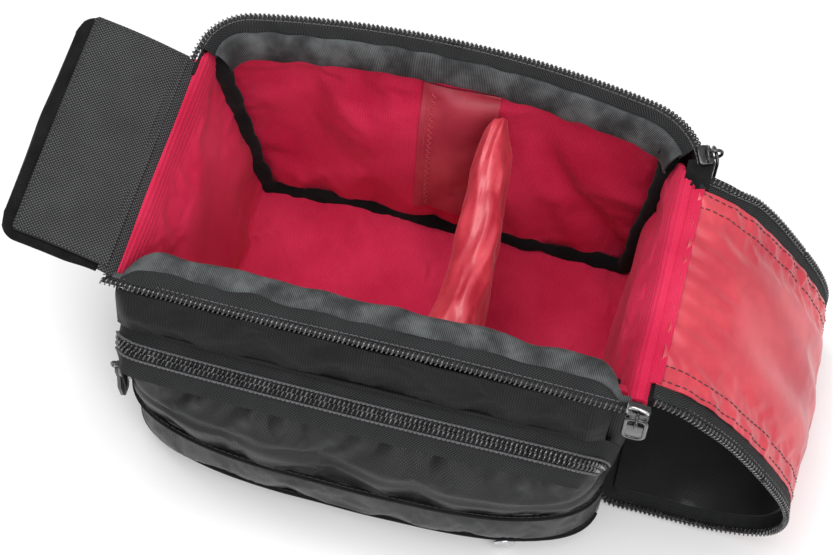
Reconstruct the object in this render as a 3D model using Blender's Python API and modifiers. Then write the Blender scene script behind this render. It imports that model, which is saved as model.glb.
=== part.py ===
"""Open padded camera shoulder bag: every sub-part is its own closed solid.

Dimensions below are millimetres; geometry is built in metres, +Z up.
X runs along the bag towards the lid side, -Y is the pocket side.
The origin is on the floor, below the middle of the padded compartment.
"""

import math

import bmesh
import bpy
from mathutils import Matrix, Vector

MM = 0.001
GAP = 0.3

# Rim and walls
RIM_Z = 119.8
WALL_TOP = 117.0
SHELL_T = 1.2
LEFT_LOW, LEFT_TOP = -101.0, -113.8
RIGHT_LOW, RIGHT_TOP = 107.0, 117.0
FRONT_Y = -60.6
BACK_LOW_Y = 72.0
BACK_CORNER_LOW = 18.0
WALL_LOW = 1.9
CORNER_Y = 47.5
END_WALL_Y = -58.5

# Compartment, measured on the lining's own mid-surface
FLOOR_Z = 11.4
LINING_T = 1.2
INNER_LEFT_LOW, INNER_LEFT_TOP = -92.6, -108.6
INNER_RIGHT_LOW, INNER_RIGHT_TOP = 99.6, 109.5
INNER_FRONT_Y = -45.0
INNER_BACK_LOW_Y = 62.6
INNER_BACK_TOP_Y = 76.2
INNER_BACK_END_Y = 63.2
INNER_TOP = 110.8
STRIP_Y = (-44.0, 60.0)

# Zip round the rim: a bowed back run between two corner arcs
COIL_R = 1.4
FRONT_COIL_Y = -64.5
BACK_COIL_Z = 121.5
RIGHT_ARC = (84.0, 48.0, 37.5)
LEFT_ARC_R = 24.0
BOW_HALF_ANGLE = 12.0
BOW_MID_X = -2.0

# Front pocket
POCKET_MID_X, POCKET_HALF = -1.0, 109.0
POCKET_BACK_Y = -62.0
POCKET_T = 4.0
POCKET_ZIP_Y, POCKET_ZIP_Z, POCKET_COIL_R = -79.9, 90.0, 1.7
POCKET_LEVELS = ((2.0, 29.5, 2.8), (14.0, 33.0, 2.8), (45.0, 35.5, 2.8), (79.0, 20.0, 4.5))
SIDE_RUN_X, SIDE_RUN_Y = -113.5, -70.0

# Lid: three panels joined by two folds
LID_HINGE = (118.5, 122.2)
LID_FOLD = (148.3, 107.6)
LID_NEAR_Y = (-57.5, 51.0)
LID_PANEL_Y = (-50.0, 45.0)
LID_COIL_Y = (-59.2, 56.1)
MID_LENGTH = 84.0
MID_DIR = -62.0
TURN_R = 20.0
FAR_DIR = -178.0
FAR_LENGTH = 60.7
LID_SKIN = (-2.6, -0.2)
LID_SATIN = (0.1, 1.1)
LID_TAPE = (-1.2, -0.2)
LID_COIL_N = -0.7
TURN_COVER = 50.0
COIL_INSET = 1.7
FAR_PANEL_CUT = 9.0
FAR_CORNER_CUT = 1.2
FOLD_GAP = 2.2

# Sliders
BACK_SLIDER_ANGLE = 22.0

# End flap: each layer's reach from the hinge, corner radius, Y range and range across the flap
FLAP_HINGE = (-117.6, 122.0)
FLAP_DIR = 159.0
FLAP_START = 2.0
FLAP_LAYERS = (
    ("end_flap_panel", "ballistic", 45.2, 1.0, (-58.0, 54.5), (0.0, 1.6)),
    ("end_flap_backing", "webbing", 51.2, 9.0, (-60.4, 54.5), (-1.9, -0.3)),
)

# Divider
DIVIDER_X = (21.0, 33.0)

COLOURS = {
    "nylon": ((0.022, 0.022, 0.024), 0.75, 0.0),
    "ballistic": ((0.035, 0.036, 0.038), 0.7, 0.0),
    "webbing": ((0.012, 0.012, 0.013), 0.8, 0.0),
    "grosgrain": ((0.10, 0.105, 0.11), 0.8, 0.0),
    "tape": ((0.03, 0.03, 0.03), 0.8, 0.0),
    "coil": ((0.02, 0.02, 0.022), 0.35, 0.0),
    "knit": ((0.62, 0.035, 0.075), 0.9, 0.0),
    "satin": ((0.70, 0.06, 0.09), 0.4, 0.0),
    "foam": ((0.15, 0.15, 0.16), 0.95, 0.0),
    "board": ((0.05, 0.05, 0.05), 0.6, 0.0),
    "steel": ((0.6, 0.6, 0.62), 0.3, 1.0),
    "black_metal": ((0.02, 0.02, 0.022), 0.4, 0.6),
    "moulded": ((0.015, 0.015, 0.016), 0.5, 0.0),
}


# ---------------------------------------------------------------- scene helpers

def clear_scene():
    for ob in list(bpy.data.objects):
        bpy.data.objects.remove(ob, do_unlink=True)


def make_collection(name):
    col = bpy.data.collections.new(name)
    bpy.context.scene.collection.children.link(col)
    return col


def material(name, key):
    colour, roughness, metallic = COLOURS[key]
    mat = bpy.data.materials.new(name)
    mat.use_nodes = True
    bsdf = mat.node_tree.nodes["Principled BSDF"]
    bsdf.inputs["Base Color"].default_value = (*colour, 1.0)
    bsdf.inputs["Roughness"].default_value = roughness
    bsdf.inputs["Metallic"].default_value = metallic
    mat.diffuse_color = (*colour, 1.0)
    return mat


def add(name, data, key, parent=None):
    """Links one named sub-part, with its own material, under its joint's empty."""
    ob = bpy.data.objects.new(name, data)
    BAG.objects.link(ob)
    if key:
        data.materials.append(material(name, key))
    if parent is not None:
        ob.parent = parent
        ob.matrix_parent_inverse = parent.matrix_world.inverted()
    return ob


def joint_empty(name, x, y, z):
    empty = bpy.data.objects.new(name, None)
    empty.location = (x * MM, y * MM, z * MM)
    empty.empty_display_size = 10 * MM
    BAG.objects.link(empty)
    bpy.context.view_layer.update()
    return empty


def cutter(ob):
    BAG.objects.unlink(ob)
    CUTTERS.objects.link(ob)
    ob.hide_render = True
    ob.display_type = "WIRE"


def boolean(target, tool, operation):
    mod = target.modifiers.new(operation.lower(), "BOOLEAN")
    mod.object = tool
    mod.operation = operation
    mod.solver = "EXACT"
    cutter(tool)


# ---------------------------------------------------------------- shape helpers

def block(name, key, x, y, z, parent=None, bevel=0.0):
    """Axis-aligned box between two limits on each axis."""
    bpy.ops.mesh.primitive_cube_add(size=1.0)
    ob = bpy.context.object
    mesh = ob.data
    bpy.data.objects.remove(ob)
    size = Vector((x[1] - x[0], y[1] - y[0], z[1] - z[0])) * MM
    mesh.transform(Matrix.Diagonal((*size, 1.0)))
    mesh.transform(Matrix.Translation(Vector((sum(x), sum(y), sum(z))) * MM / 2))
    ob = add(name, mesh, key, parent)
    if bevel:
        mod = ob.modifiers.new("bevel", "BEVEL")
        mod.width = bevel * MM
        mod.segments = 2
    return ob


def leaning_slab(name, key, low, high, parent=None):
    """Slab whose foot and head are rectangles: (x0, x1, y0, y1, z) for each."""
    mesh = bpy.data.meshes.new(name)
    bm = bmesh.new()
    bmesh.ops.create_cube(bm, size=1.0)
    for v in bm.verts:
        x0, x1, y0, y1, z = high if v.co.z > 0 else low
        v.co = Vector((x1 if v.co.x > 0 else x0, y1 if v.co.y > 0 else y0, z)) * MM
    bm.to_mesh(mesh)
    bm.free()
    return add(name, mesh, key, parent)


def sheet(name, key, rows, thickness, parent=None):
    """Open grid through rows of points, given thickness on both sides."""
    mesh = bpy.data.meshes.new(name)
    bm = bmesh.new()
    grid = [[bm.verts.new(Vector(p) * MM) for p in row] for row in rows]
    for low, high in zip(grid, grid[1:]):
        for i in range(len(low) - 1):
            bm.faces.new((low[i], low[i + 1], high[i + 1], high[i]))
    bm.normal_update()
    bm.to_mesh(mesh)
    bm.free()
    ob = add(name, mesh, key, parent)
    mod = ob.modifiers.new("thickness", "SOLIDIFY")
    mod.thickness = thickness * MM
    mod.offset = 0.0
    return ob


def tube(name, key, points, radius, parent=None, sides=1):
    curve = bpy.data.curves.new(name, "CURVE")
    curve.dimensions = "3D"
    curve.bevel_depth = radius * MM
    curve.bevel_resolution = sides
    curve.use_fill_caps = True
    spline = curve.splines.new("POLY")
    spline.points.add(len(points) - 1)
    for knot, p in zip(spline.points, points):
        knot.co = (*(Vector(p) * MM), 1.0)
    return add(name, curve, key, parent)


def plate(name, key, outline, across, parent=None, plane="XZ"):
    """Flat outline extruded between two limits on the axis across its plane."""
    curve = bpy.data.curves.new(name, "CURVE")
    curve.dimensions = "2D"
    curve.fill_mode = "BOTH"
    curve.extrude = (across[1] - across[0]) * MM / 2
    spline = curve.splines.new("POLY")
    spline.points.add(len(outline) - 1)
    for knot, (u, v) in zip(spline.points, outline):
        knot.co = (u * MM, v * MM, 0.0, 1.0)
    spline.use_cyclic_u = True
    ob = add(name, curve, key)
    mid = (across[0] + across[1]) * MM / 2
    if plane == "XZ":
        ob.matrix_world = Matrix.Translation((0, mid, 0)) @ Matrix.Rotation(math.pi / 2, 4, "X")
    elif plane == "YZ":
        turn = Matrix(((0, 0, 1, 0), (1, 0, 0, 0), (0, 1, 0, 0), (0, 0, 0, 1)))
        ob.matrix_world = Matrix.Translation((mid, 0, 0)) @ turn
    else:
        ob.matrix_world = Matrix.Translation((0, 0, mid))
    if parent is not None:
        ob.parent = parent
        ob.matrix_parent_inverse = parent.matrix_world.inverted()
    return ob


def arc(cx, cy, radius, start, end, steps):
    angles = [math.radians(start + (end - start) * i / steps) for i in range(steps + 1)]
    return [(cx + radius * math.cos(a), cy + radius * math.sin(a)) for a in angles]


def band_outline(line, low, high):
    """Closed outline of a band that follows a 2D line between two offsets from it."""
    left, right = [], []
    for i, (u, v) in enumerate(line):
        u0, v0 = line[max(i - 1, 0)]
        u1, v1 = line[min(i + 1, len(line) - 1)]
        length = math.hypot(u1 - u0, v1 - v0)
        nu, nv = -(v1 - v0) / length, (u1 - u0) / length
        left.append((u + nu * high, v + nv * high))
        right.append((u + nu * low, v + nv * low))
    return right + left[::-1]


def parallel(line, offset):
    """The same line moved to its left by an offset."""
    return band_outline(line, offset, offset + 1)[:len(line)]


def polar(origin, degrees, distance, side=0.0):
    """Point at a distance along a direction in the XZ plane, and to its left side."""
    a = math.radians(degrees)
    return (origin[0] + distance * math.cos(a) - side * math.sin(a),
            origin[1] + distance * math.sin(a) + side * math.cos(a))


# ---------------------------------------------------------------- plan curves

def back_rim(offset, right_end=16.0, straight=0.0, steps=6):
    """Rim line from the left end round the back to the right corner, moved inwards."""
    cx, cy, radius = RIGHT_ARC
    end_angle = 90.0 - BOW_HALF_ANGLE
    join_x = cx + radius * math.cos(math.radians(end_angle))
    bow_r = (join_x - BOW_MID_X) / math.cos(math.radians(end_angle))
    bow_y = cy + (radius - bow_r) * math.sin(math.radians(end_angle))
    reach = bow_r - LEFT_ARC_R
    left_x = BOW_MID_X - reach * math.cos(math.radians(end_angle))
    left_y = bow_y + reach * math.sin(math.radians(end_angle))
    left = arc(left_x, left_y, LEFT_ARC_R - offset, 180.0, 180.0 - end_angle, steps)
    bow = arc(BOW_MID_X, bow_y, bow_r - offset, 180.0 - end_angle, end_angle, 2 * steps)
    right = arc(cx, cy, radius - offset, end_angle, right_end, steps)
    start = [(left[0][0], left[0][1] - straight)] if straight else []
    return start + left + bow[1:] + right[1:]


def back_foot(inset):
    """Foot of the outer back panel, with the same number of points as the rim line."""
    r = BACK_CORNER_LOW - inset
    left = arc(LEFT_LOW + BACK_CORNER_LOW, BACK_LOW_Y - BACK_CORNER_LOW, r, 180.0, 102.0, 6)
    right = arc(RIGHT_LOW - BACK_CORNER_LOW, BACK_LOW_Y - BACK_CORNER_LOW, r, 78.0, 0.0, 6)
    a, b = Vector(left[-1]), Vector(right[0])
    middle = [tuple(a.lerp(b, i / 12)) for i in range(1, 12)]
    return left + middle + right


def pocket_line(depth, power, half=POCKET_HALF, steps=20):
    """Bowed pocket front in plan, from its left end to its right end."""
    points = []
    for i in range(steps + 1):
        a = math.pi * i / steps
        c, s = math.cos(a), math.sin(a)
        x = -math.copysign(abs(c) ** (2 / power), c) * half
        y = -abs(s) ** (2 / power) * depth
        points.append((POCKET_MID_X + x, POCKET_BACK_Y + y))
    return points


def at_height(points, z):
    return [(x, y, z) for x, y in points]


# ---------------------------------------------------------------- body

def build_base():
    front = pocket_line(POCKET_LEVELS[0][1] - 1.0, POCKET_LEVELS[0][2], POCKET_HALF - 2)
    outline = back_foot(0.0)[::-1] + front
    plate("base_panel", "ballistic", outline, (0.0, 1.5), plane="XY")
    block("base_board", "board", (-92, 99), (-52, 66), (1.8, 3.8))
    block("base_foam", "foam", (-91, 98), (-50, 64), (4.1, FLOOR_Z - LINING_T / 2 - GAP))


def build_outer_shell():
    half = SHELL_T / 2
    for name, low_x, high_x in (("outer_left", LEFT_LOW, LEFT_TOP), ("outer_right", RIGHT_LOW, RIGHT_TOP)):
        leaning_slab(name, "nylon",
                     (low_x - half, low_x + half, END_WALL_Y, CORNER_Y, WALL_LOW),
                     (high_x - half, high_x + half, END_WALL_Y, CORNER_Y, WALL_TOP))
    leaning_slab("outer_front", "nylon",
                 (-99.0, 105.0, FRONT_Y - half, FRONT_Y + half, WALL_LOW),
                 (-112.0, 113.0, FRONT_Y - half, FRONT_Y + half, WALL_TOP))
    foot = at_height(back_foot(0.0), WALL_LOW)
    head = at_height(back_rim(1.0, right_end=14.0), WALL_TOP)
    low = at_height([(LEFT_LOW, CORNER_Y + GAP)], WALL_LOW) + foot
    low += at_height([(RIGHT_LOW, CORNER_Y + GAP)], WALL_LOW)
    high = at_height([(LEFT_TOP, CORNER_Y + GAP)], WALL_TOP) + head
    high += at_height([(RIGHT_TOP, CORNER_Y + GAP)], WALL_TOP)
    sheet("outer_back", "nylon", (low, high), SHELL_T)


def build_foam():
    foot, head = 12.6, 112.8
    leaning_slab("foam_left", "foam",
                 (-100.8, -93.6, -44.0, 46.0, foot), (-112.2, -109.6, -44.0, 46.0, head))
    leaning_slab("foam_right", "foam",
                 (100.8, 106.8, -44.0, 46.0, foot), (110.6, 115.6, -44.0, 46.0, head))
    leaning_slab("foam_front", "foam",
                 (-90.0, 97.0, -59.6, -46.0, foot), (-106.0, 108.0, -59.6, -46.0, 118.3))
    low = bowed_row(-88.0, 94.0, 67.0, 67.0, foot)
    high = bowed_row(-99.0, 98.0, 80.6, 69.4, INNER_TOP - 0.5)
    sheet("foam_back", "foam", (low, high), 5.6)


def bowed_row(x0, x1, y_mid, y_end, z, steps=10):
    """Row of points whose middle stands further back than its two ends."""
    row = []
    for i in range(steps + 1):
        t = i / steps
        sag = (2 * t - 1) ** 2
        row.append((x0 + (x1 - x0) * t, y_mid + (y_end - y_mid) * sag, z))
    return row


def build_lining():
    line = [(-113.4, 118.2), (-109.4, 118.2), (INNER_LEFT_TOP, 114.0), (INNER_LEFT_LOW, FLOOR_Z),
            (INNER_RIGHT_LOW, FLOOR_Z), (INNER_RIGHT_TOP, 114.0), (110.3, 118.2), (116.4, 118.2)]
    half = LINING_T / 2
    plate("lining_strip", "knit", band_outline(line, -half, half), STRIP_Y)
    low = bowed_row(-90.8, 97.8, INNER_BACK_LOW_Y, INNER_BACK_LOW_Y, FLOOR_Z + 1.2)
    high = bowed_row(-104.0, 105.0, INNER_BACK_TOP_Y, INNER_BACK_END_Y, INNER_TOP)
    sheet("lining_back", "knit", (low, high), LINING_T)
    leaning_slab("lining_front", "knit",
                 (-90.8, 97.8, INNER_FRONT_Y - half, INNER_FRONT_Y + half, FLOOR_Z + 1.2),
                 (-106.0, 108.0, INNER_FRONT_Y - half, INNER_FRONT_Y + half, 118.4))
    for name, y, top in (("binding_back", 59.1, 109.5), ("binding_front", -41.9, 115.5)):
        rise = (top - FLOOR_Z) / (114.0 - FLOOR_Z)
        left = INNER_LEFT_LOW + (INNER_LEFT_TOP - INNER_LEFT_LOW) * rise
        right = INNER_RIGHT_LOW + (INNER_RIGHT_TOP - INNER_RIGHT_LOW) * rise
        tube(name, "webbing",
             [(left + 3.2, y, top), (INNER_LEFT_LOW + 3.6, y, FLOOR_Z + 3.0),
              (INNER_RIGHT_LOW - 3.6, y, FLOOR_Z + 3.0), (right - 3.2, y, top)], 2.0)


def build_rim():
    block("facing_front", "grosgrain", (-106, 106), (-53.3, -44.4), (118.9, 119.9))
    block("zip_tape_front", "tape", (-106, 112), (-62.7, -53.6), (119.3, 120.3))
    tube("zip_coil_front", "coil",
         [(-112, FRONT_COIL_Y, RIM_Z), (0, FRONT_COIL_Y, RIM_Z), (119, FRONT_COIL_Y, RIM_Z)], COIL_R)
    sheet("zip_tape_back", "tape",
          (at_height(back_rim(1.9, right_end=30.0), 121.1),
           at_height(back_rim(10.5, right_end=30.0), 117.7)), 1.0)
    sheet("facing_back", "grosgrain",
          (at_height(back_rim(10.9, right_end=31.0), 117.3),
           at_height(back_rim(18.5, right_end=31.0), 112.2)), 1.0)
    rim = back_rim(0.0)
    left_run = [(-116.4, -56.0, 112.0), (-116.4, 40.0, 112.0), (-116.6, 52.0, 115.0), (-116.4, 57.5, 119.6)]
    tube("zip_coil_back", "coil", left_run + at_height(rim, BACK_COIL_Z), COIL_R)


def build_front():
    leaning_slab("upper_front_panel", "ballistic",
                 (-108.0, 101.0, -71.0, -67.8, 98.5), (-108.0, 101.0, -64.0, -61.8, 116.4))
    inset = POCKET_T / 2
    rows = [at_height(pocket_line(depth - inset, power, POCKET_HALF - inset), z)
            for z, depth, power in POCKET_LEVELS]
    sheet("pocket_panel", "ballistic", rows, POCKET_T)
    sheet("pocket_tape_upper", "tape",
          (((-104, -68.0, 97.4), (98, -68.0, 97.4)), ((-104, -77.6, 91.6), (98, -77.6, 91.6))), 1.0)
    sheet("pocket_tape_lower", "tape",
          (at_height(pocket_line(19.0, 4.5), 79.9), at_height(pocket_line(16.9, 4.5), 87.3)), 1.0)
    coil = [(SIDE_RUN_X, SIDE_RUN_Y, 44.0), (SIDE_RUN_X, SIDE_RUN_Y, 76.0),
            (SIDE_RUN_X + 1.5, -73.0, 85.0), (SIDE_RUN_X + 6.0, -78.0, POCKET_ZIP_Z),
            (SIDE_RUN_X + 14.0, POCKET_ZIP_Y, POCKET_ZIP_Z), (97.0, POCKET_ZIP_Y, POCKET_ZIP_Z),
            (106.0, -77.0, POCKET_ZIP_Z - 1.0), (110.6, -72.0, 84.0), (110.8, -68.0, 76.0)]
    tube("pocket_zip_coil", "coil", coil, POCKET_COIL_R)
    for name, z, depth in (("piping_upper", 45.0, 35.5), ("piping_lower", 14.0, 33.0)):
        line = parallel(pocket_line(depth, 2.8), -2.4)[2:-2]
        tube(name, "webbing", at_height(line, z), 1.5)
    build_stud()


def build_stud():
    bpy.ops.mesh.primitive_cylinder_add(vertices=24, radius=5.2 * MM, depth=1.6 * MM)
    source = bpy.context.object
    mesh = source.data
    bpy.data.objects.remove(source)
    ob = add("snap_stud", mesh, "steel")
    ob.location = Vector((71.0, -91.8, 6.6)) * MM
    ob.rotation_euler = (math.radians(97.0), 0.0, math.radians(17.0))
    mod = ob.modifiers.new("bevel", "BEVEL")
    mod.width = 0.5 * MM
    mod.segments = 2
    mod.limit_method = "ANGLE"


# ---------------------------------------------------------------- strap rings

def build_ring(side, wall_x, lean):
    """Webbing tab sewn to an end wall, with a D-ring that hangs from its fold."""
    sign = -1.0 if side == "left" else 1.0
    tab_low, tab_high = 72.0, 98.0
    near = wall_x + sign * 0.9
    leaning_slab(f"ring_tab_{side}", "webbing",
                 (*sorted((near, near + sign * 2.0)), -12.5, 12.5, tab_low),
                 (*sorted((near + lean * 26, near + lean * 26 + sign * 2.0)), -12.5, 12.5, tab_high))
    x, z = near + sign * 3.6, 67.8
    pivot = joint_empty(f"pivot_d_ring_{side}", x, 0.0, z)
    low = [(x, y, zz) for y, zz in arc(0.0, z - 6.0, 14.0, 180.0, 360.0, 10)]
    loop = [(x, -14.0, z)] + low + [(x, 14.0, z)]
    ring = tube(f"d_ring_{side}", "steel", loop, 1.5, sides=2)
    bar = tube(f"ring_bar_{side}", None, [(x, -15.2, z), (x, 15.2, z)], 1.5, sides=2)
    solid_union(ring, bar, pivot)


def to_mesh_object(ob, parent=None):
    """Turns a curve object into a mesh with welded caps, keeping name and place."""
    bpy.context.view_layer.update()
    depsgraph = bpy.context.evaluated_depsgraph_get()
    mesh = bpy.data.meshes.new_from_object(ob.evaluated_get(depsgraph))
    bm = bmesh.new()
    bm.from_mesh(mesh)
    bmesh.ops.remove_doubles(bm, verts=bm.verts, dist=0.01 * MM)
    bm.to_mesh(mesh)
    bm.free()
    name, place = ob.name, ob.matrix_world.copy()
    bpy.data.objects.remove(ob)
    new = bpy.data.objects.new(name, mesh)
    BAG.objects.link(new)
    if parent is not None:
        new.parent = parent
        new.matrix_parent_inverse = parent.matrix_world.inverted()
    new.matrix_world = place
    return new


def solid_union(main, extra, parent):
    main = to_mesh_object(main, parent)
    extra = to_mesh_object(extra)
    boolean(main, extra, "UNION")
    return main


# ---------------------------------------------------------------- zip sliders

HOOK_R, HOOK_WIRE = 3.0, 0.6
HEAD_R = 0.9
PIVOT_OUT = 1.3
PULL_T = 1.6
RING_PULL = ((-3.4, HEAD_R), (3.4, HEAD_R), (4.4, -6.0), (4.4, -13.0), (2.4, -17.0),
             (-2.4, -17.0), (-4.4, -13.0), (-4.4, -6.0))
LONG_PULL = ((-2.4, HEAD_R), (2.4, HEAD_R), (2.6, -7.0), (4.4, -14.0), (2.8, -27.0),
             (-2.8, -27.0), (-4.4, -14.0), (-2.6, -7.0))


def slider(name, key, centre, frame, size, channel, hook, parent):
    """Slider body with a channel for the coil that is open on the tape side.

    frame holds three unit vectors: along the zip, towards the tape, and out of the plane.
    hook is the pull's pivot, the way out from the slider, and the hook's two end angles.
    """
    length, width, height = size
    rotation = Matrix(frame).transposed().to_4x4()
    place = Matrix.Translation(Vector(centre) * MM) @ rotation
    body = block(name, key, (-length / 2, length / 2), (-width / 2, width / 2),
                 (-height / 2, height / 2))
    slot = block(f"{name}_channel", None, (-length, length), (-channel, width),
                 (-channel, channel))
    slot.matrix_world = place
    pivot, out, start, end = hook
    wire = []
    for i in range(11):
        t = math.radians(start + (end - start) * i / 10)
        wire.append(Vector(pivot) + HOOK_R * (math.cos(t) * Vector(out) + math.sin(t) * Vector((0, 0, 1))))
    loop = to_mesh_object(tube(f"{name}_hook", None, wire, HOOK_WIRE))
    boolean(body, slot, "DIFFERENCE")
    boolean(body, loop, "UNION")
    body.matrix_world = place
    body.parent = parent
    body.matrix_parent_inverse = parent.matrix_world.inverted()


def pull(name, key, pivot, out, outline):
    """Flat pull tab that hangs from its pivot, facing out, with an eye for the hook."""
    x, y, z = pivot
    swing = joint_empty(f"pivot_{name}", *pivot)
    shape = [(u, v) for u, v in outline]
    tab = to_mesh_object(plate(name, key, shape, (-PULL_T / 2, PULL_T / 2)))
    eye = block(f"{name}_eye", None, (-1.2, 1.2), (-3, 3), (-4.3, -0.95))
    turn = math.atan2(out[1], out[0]) + math.pi / 2
    place = Matrix.Translation(Vector(pivot) * MM) @ Matrix.Rotation(turn, 4, "Z")
    tab.matrix_world = place @ tab.matrix_world
    eye.matrix_world = place
    boolean(tab, eye, "DIFFERENCE")
    tab.parent = swing
    tab.matrix_parent_inverse = swing.matrix_world.inverted()


def build_sliders():
    x, y, z = 116.0, FRONT_COIL_Y - 0.8, RIM_Z
    move = joint_empty("track_front_slider", x, y, z)
    pivot, out = (x, y - 3.5 - PIVOT_OUT, z + 2.3), (0, -1, 0)
    slider("front_slider", "black_metal", (x, y, z), ((1, 0, 0), (0, 1, 0), (0, 0, 1)),
           (10.0, 7.0, 5.4), 1.9, (pivot, out, 172, -125), move)
    pull("front_pull", "black_metal", pivot, out, RING_PULL)

    cx, cy, radius = RIGHT_ARC
    a = math.radians(BACK_SLIDER_ANGLE)
    out = Vector((math.cos(a), math.sin(a), 0))
    along = Vector((-math.sin(a), math.cos(a), 0))
    spot = Vector((cx, cy, BACK_COIL_Z)) + out * (radius + 0.8)
    turn = joint_empty("track_back_slider", cx, cy, BACK_COIL_Z)
    pivot = spot + out * (3.5 + PIVOT_OUT) + Vector((0, 0, 2.4))
    slider("back_slider", "black_metal", spot, (along, -out, (0, 0, 1)), (9.0, 7.0, 5.6), 2.0,
           (pivot, out, 172, -125), turn)
    pull("back_pull", "black_metal", pivot, out, RING_PULL)

    spot, out = (SIDE_RUN_X, SIDE_RUN_Y - 0.6, 50.0), (-1, 0, 0)
    run = joint_empty("track_pocket_slider", *spot)
    pivot = (spot[0] - 3.1 - PIVOT_OUT, spot[1], spot[2])
    slider("pocket_slider", "black_metal", spot, ((0, 0, 1), (0, 1, 0), (-1, 0, 0)),
           (10.0, 7.4, 6.2), 2.2, (pivot, out, 120, -120), run)
    pull("pocket_pull", "moulded", pivot, out, LONG_PULL)


# ---------------------------------------------------------------- divider and flap

def build_divider():
    lift = joint_empty("lift_divider", 27.0, 10.0, 17.0)
    outline = ((-43.4, 16.8), (60.4, 16.8), (72.0, 106.0), (-43.4, 106.0))
    plate("divider_pad", "satin", outline, DIVIDER_X, lift, plane="YZ")
    back = ((60.6, 24.0), (61.8, 24.0), (72.6, 103.0), (71.4, 103.0))
    plate("divider_tab_back", "satin", back, (-12.0, DIVIDER_X[0] - GAP), lift, plane="YZ")
    block("divider_tab_front", "satin", (DIVIDER_X[1] + GAP, 52.0), (-43.8, -42.8), (24, 104), lift)


def flap_place():
    """Turns a plate drawn on the floor plane up into the flap, thickness towards its upper side."""
    turn = math.radians(FLAP_DIR)
    along = Vector((math.cos(turn), 0.0, math.sin(turn)))
    across = Vector((math.sin(turn), 0.0, -math.cos(turn)))
    basis = Matrix((along, Vector((0.0, 1.0, 0.0)), across)).transposed().to_4x4()
    return Matrix.Translation(Vector((FLAP_HINGE[0], 0.0, FLAP_HINGE[1])) * MM) @ basis


def build_flap():
    hinge = joint_empty("hinge_end_flap", FLAP_HINGE[0], 0.0, FLAP_HINGE[1])
    for name, key, reach, radius, (y0, y1), thickness in FLAP_LAYERS:
        outline = [(FLAP_START, y1)] + arc(reach - radius, y1 - radius, radius, 90, 0, 4)
        outline += arc(reach - radius, y0 + radius, radius, 0, -90, 4) + [(FLAP_START, y0)]
        ob = to_mesh_object(plate(name, key, outline, thickness, plane="XY"), hinge)
        # the turn mirrors the plate, so its faces are flipped back
        ob.data.transform(flap_place() @ ob.matrix_world)
        ob.data.flip_normals()
        ob.matrix_world = Matrix.Identity(4)


# ---------------------------------------------------------------- lid

def lid_lines():
    """Mid-lines of the three lid panels in the XZ plane, and the two fold points."""
    near_dir = math.degrees(math.atan2(LID_FOLD[1] - LID_HINGE[1], LID_FOLD[0] - LID_HINGE[0]))
    near_len = math.dist(LID_HINGE, LID_FOLD)
    near = [polar(LID_HINGE, near_dir, FOLD_GAP), polar(LID_HINGE, near_dir, near_len - FOLD_GAP)]
    mid_end = polar(LID_FOLD, MID_DIR, MID_LENGTH)
    centre = polar(mid_end, MID_DIR, 0.0, -TURN_R)
    turn = MID_DIR - FAR_DIR
    mid = [polar(LID_FOLD, MID_DIR, FOLD_GAP)]
    mid += arc(*centre, TURN_R, MID_DIR + 90, MID_DIR + 90 - TURN_COVER, 6)
    far_start = polar(centre, FAR_DIR + 90, TURN_R)
    far = arc(*centre, TURN_R, FAR_DIR + 90 + TURN_COVER, FAR_DIR + 90, 6)
    far.append(polar(far_start, FAR_DIR, FAR_LENGTH))
    half = math.radians(turn / 2)
    reach = TURN_R * half
    inset = TURN_R * (1 - half / math.tan(half))
    fold = polar(mid_end, MID_DIR, reach, -inset)
    return near, mid, far, fold


def lid_panel(prefix, line, y_range, parent, cut=0.0):
    """Padded outer skin on the inside of the curl and satin lining on its outside."""
    line = shortened(line, cut)
    plate(f"{prefix}_outer", "ballistic", band_outline(line, *LID_SKIN), y_range, parent)
    plate(f"{prefix}_satin", "satin", band_outline(line, *LID_SATIN), y_range, parent)


def shortened(line, cut):
    if not cut:
        return line
    a, b = Vector(line[-2]), Vector(line[-1])
    return line[:-1] + [tuple(b + (a - b).normalized() * cut)]


def lid_tape(name, line, y_range, parent):
    plate(name, "tape", band_outline(line, *LID_TAPE), y_range, parent)


def coil_points(line, y):
    return [(u, y, v) for u, v in parallel(line, LID_COIL_N)]


def build_lid():
    near, mid, far, fold = lid_lines()
    hinge = joint_empty("hinge_lid", LID_HINGE[0], 0.0, LID_HINGE[1])
    first = joint_empty("fold_lid_mid", LID_FOLD[0], 0.0, LID_FOLD[1])
    second = joint_empty("fold_lid_far", fold[0], 0.0, fold[1])
    lid_panel("lid_near", near, LID_NEAR_Y, hinge)
    near_coils = (("front", LID_COIL_Y[0]), ("back", LID_NEAR_Y[1] + COIL_INSET))
    for side, y in near_coils:
        tube(f"lid_near_coil_{side}", "coil", coil_points(near, y), COIL_R, hinge)
    lid_panel("lid_mid", mid, LID_PANEL_Y, first)
    tapes = (("front", (LID_COIL_Y[0] + COIL_INSET, LID_PANEL_Y[0] - GAP), LID_COIL_Y[0]),
             ("back", (LID_PANEL_Y[1] + GAP, LID_COIL_Y[1] - COIL_INSET), LID_COIL_Y[1]))
    for side, span, y in tapes:
        lid_tape(f"lid_mid_tape_{side}", mid, span, first)
        tube(f"lid_mid_coil_{side}", "coil", coil_points(mid, y), COIL_R, first)
    lid_panel("lid_far", far, LID_PANEL_Y, second, cut=FAR_PANEL_CUT)
    build_far_tape(far, second)
    build_far_coil(far, second)


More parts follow.
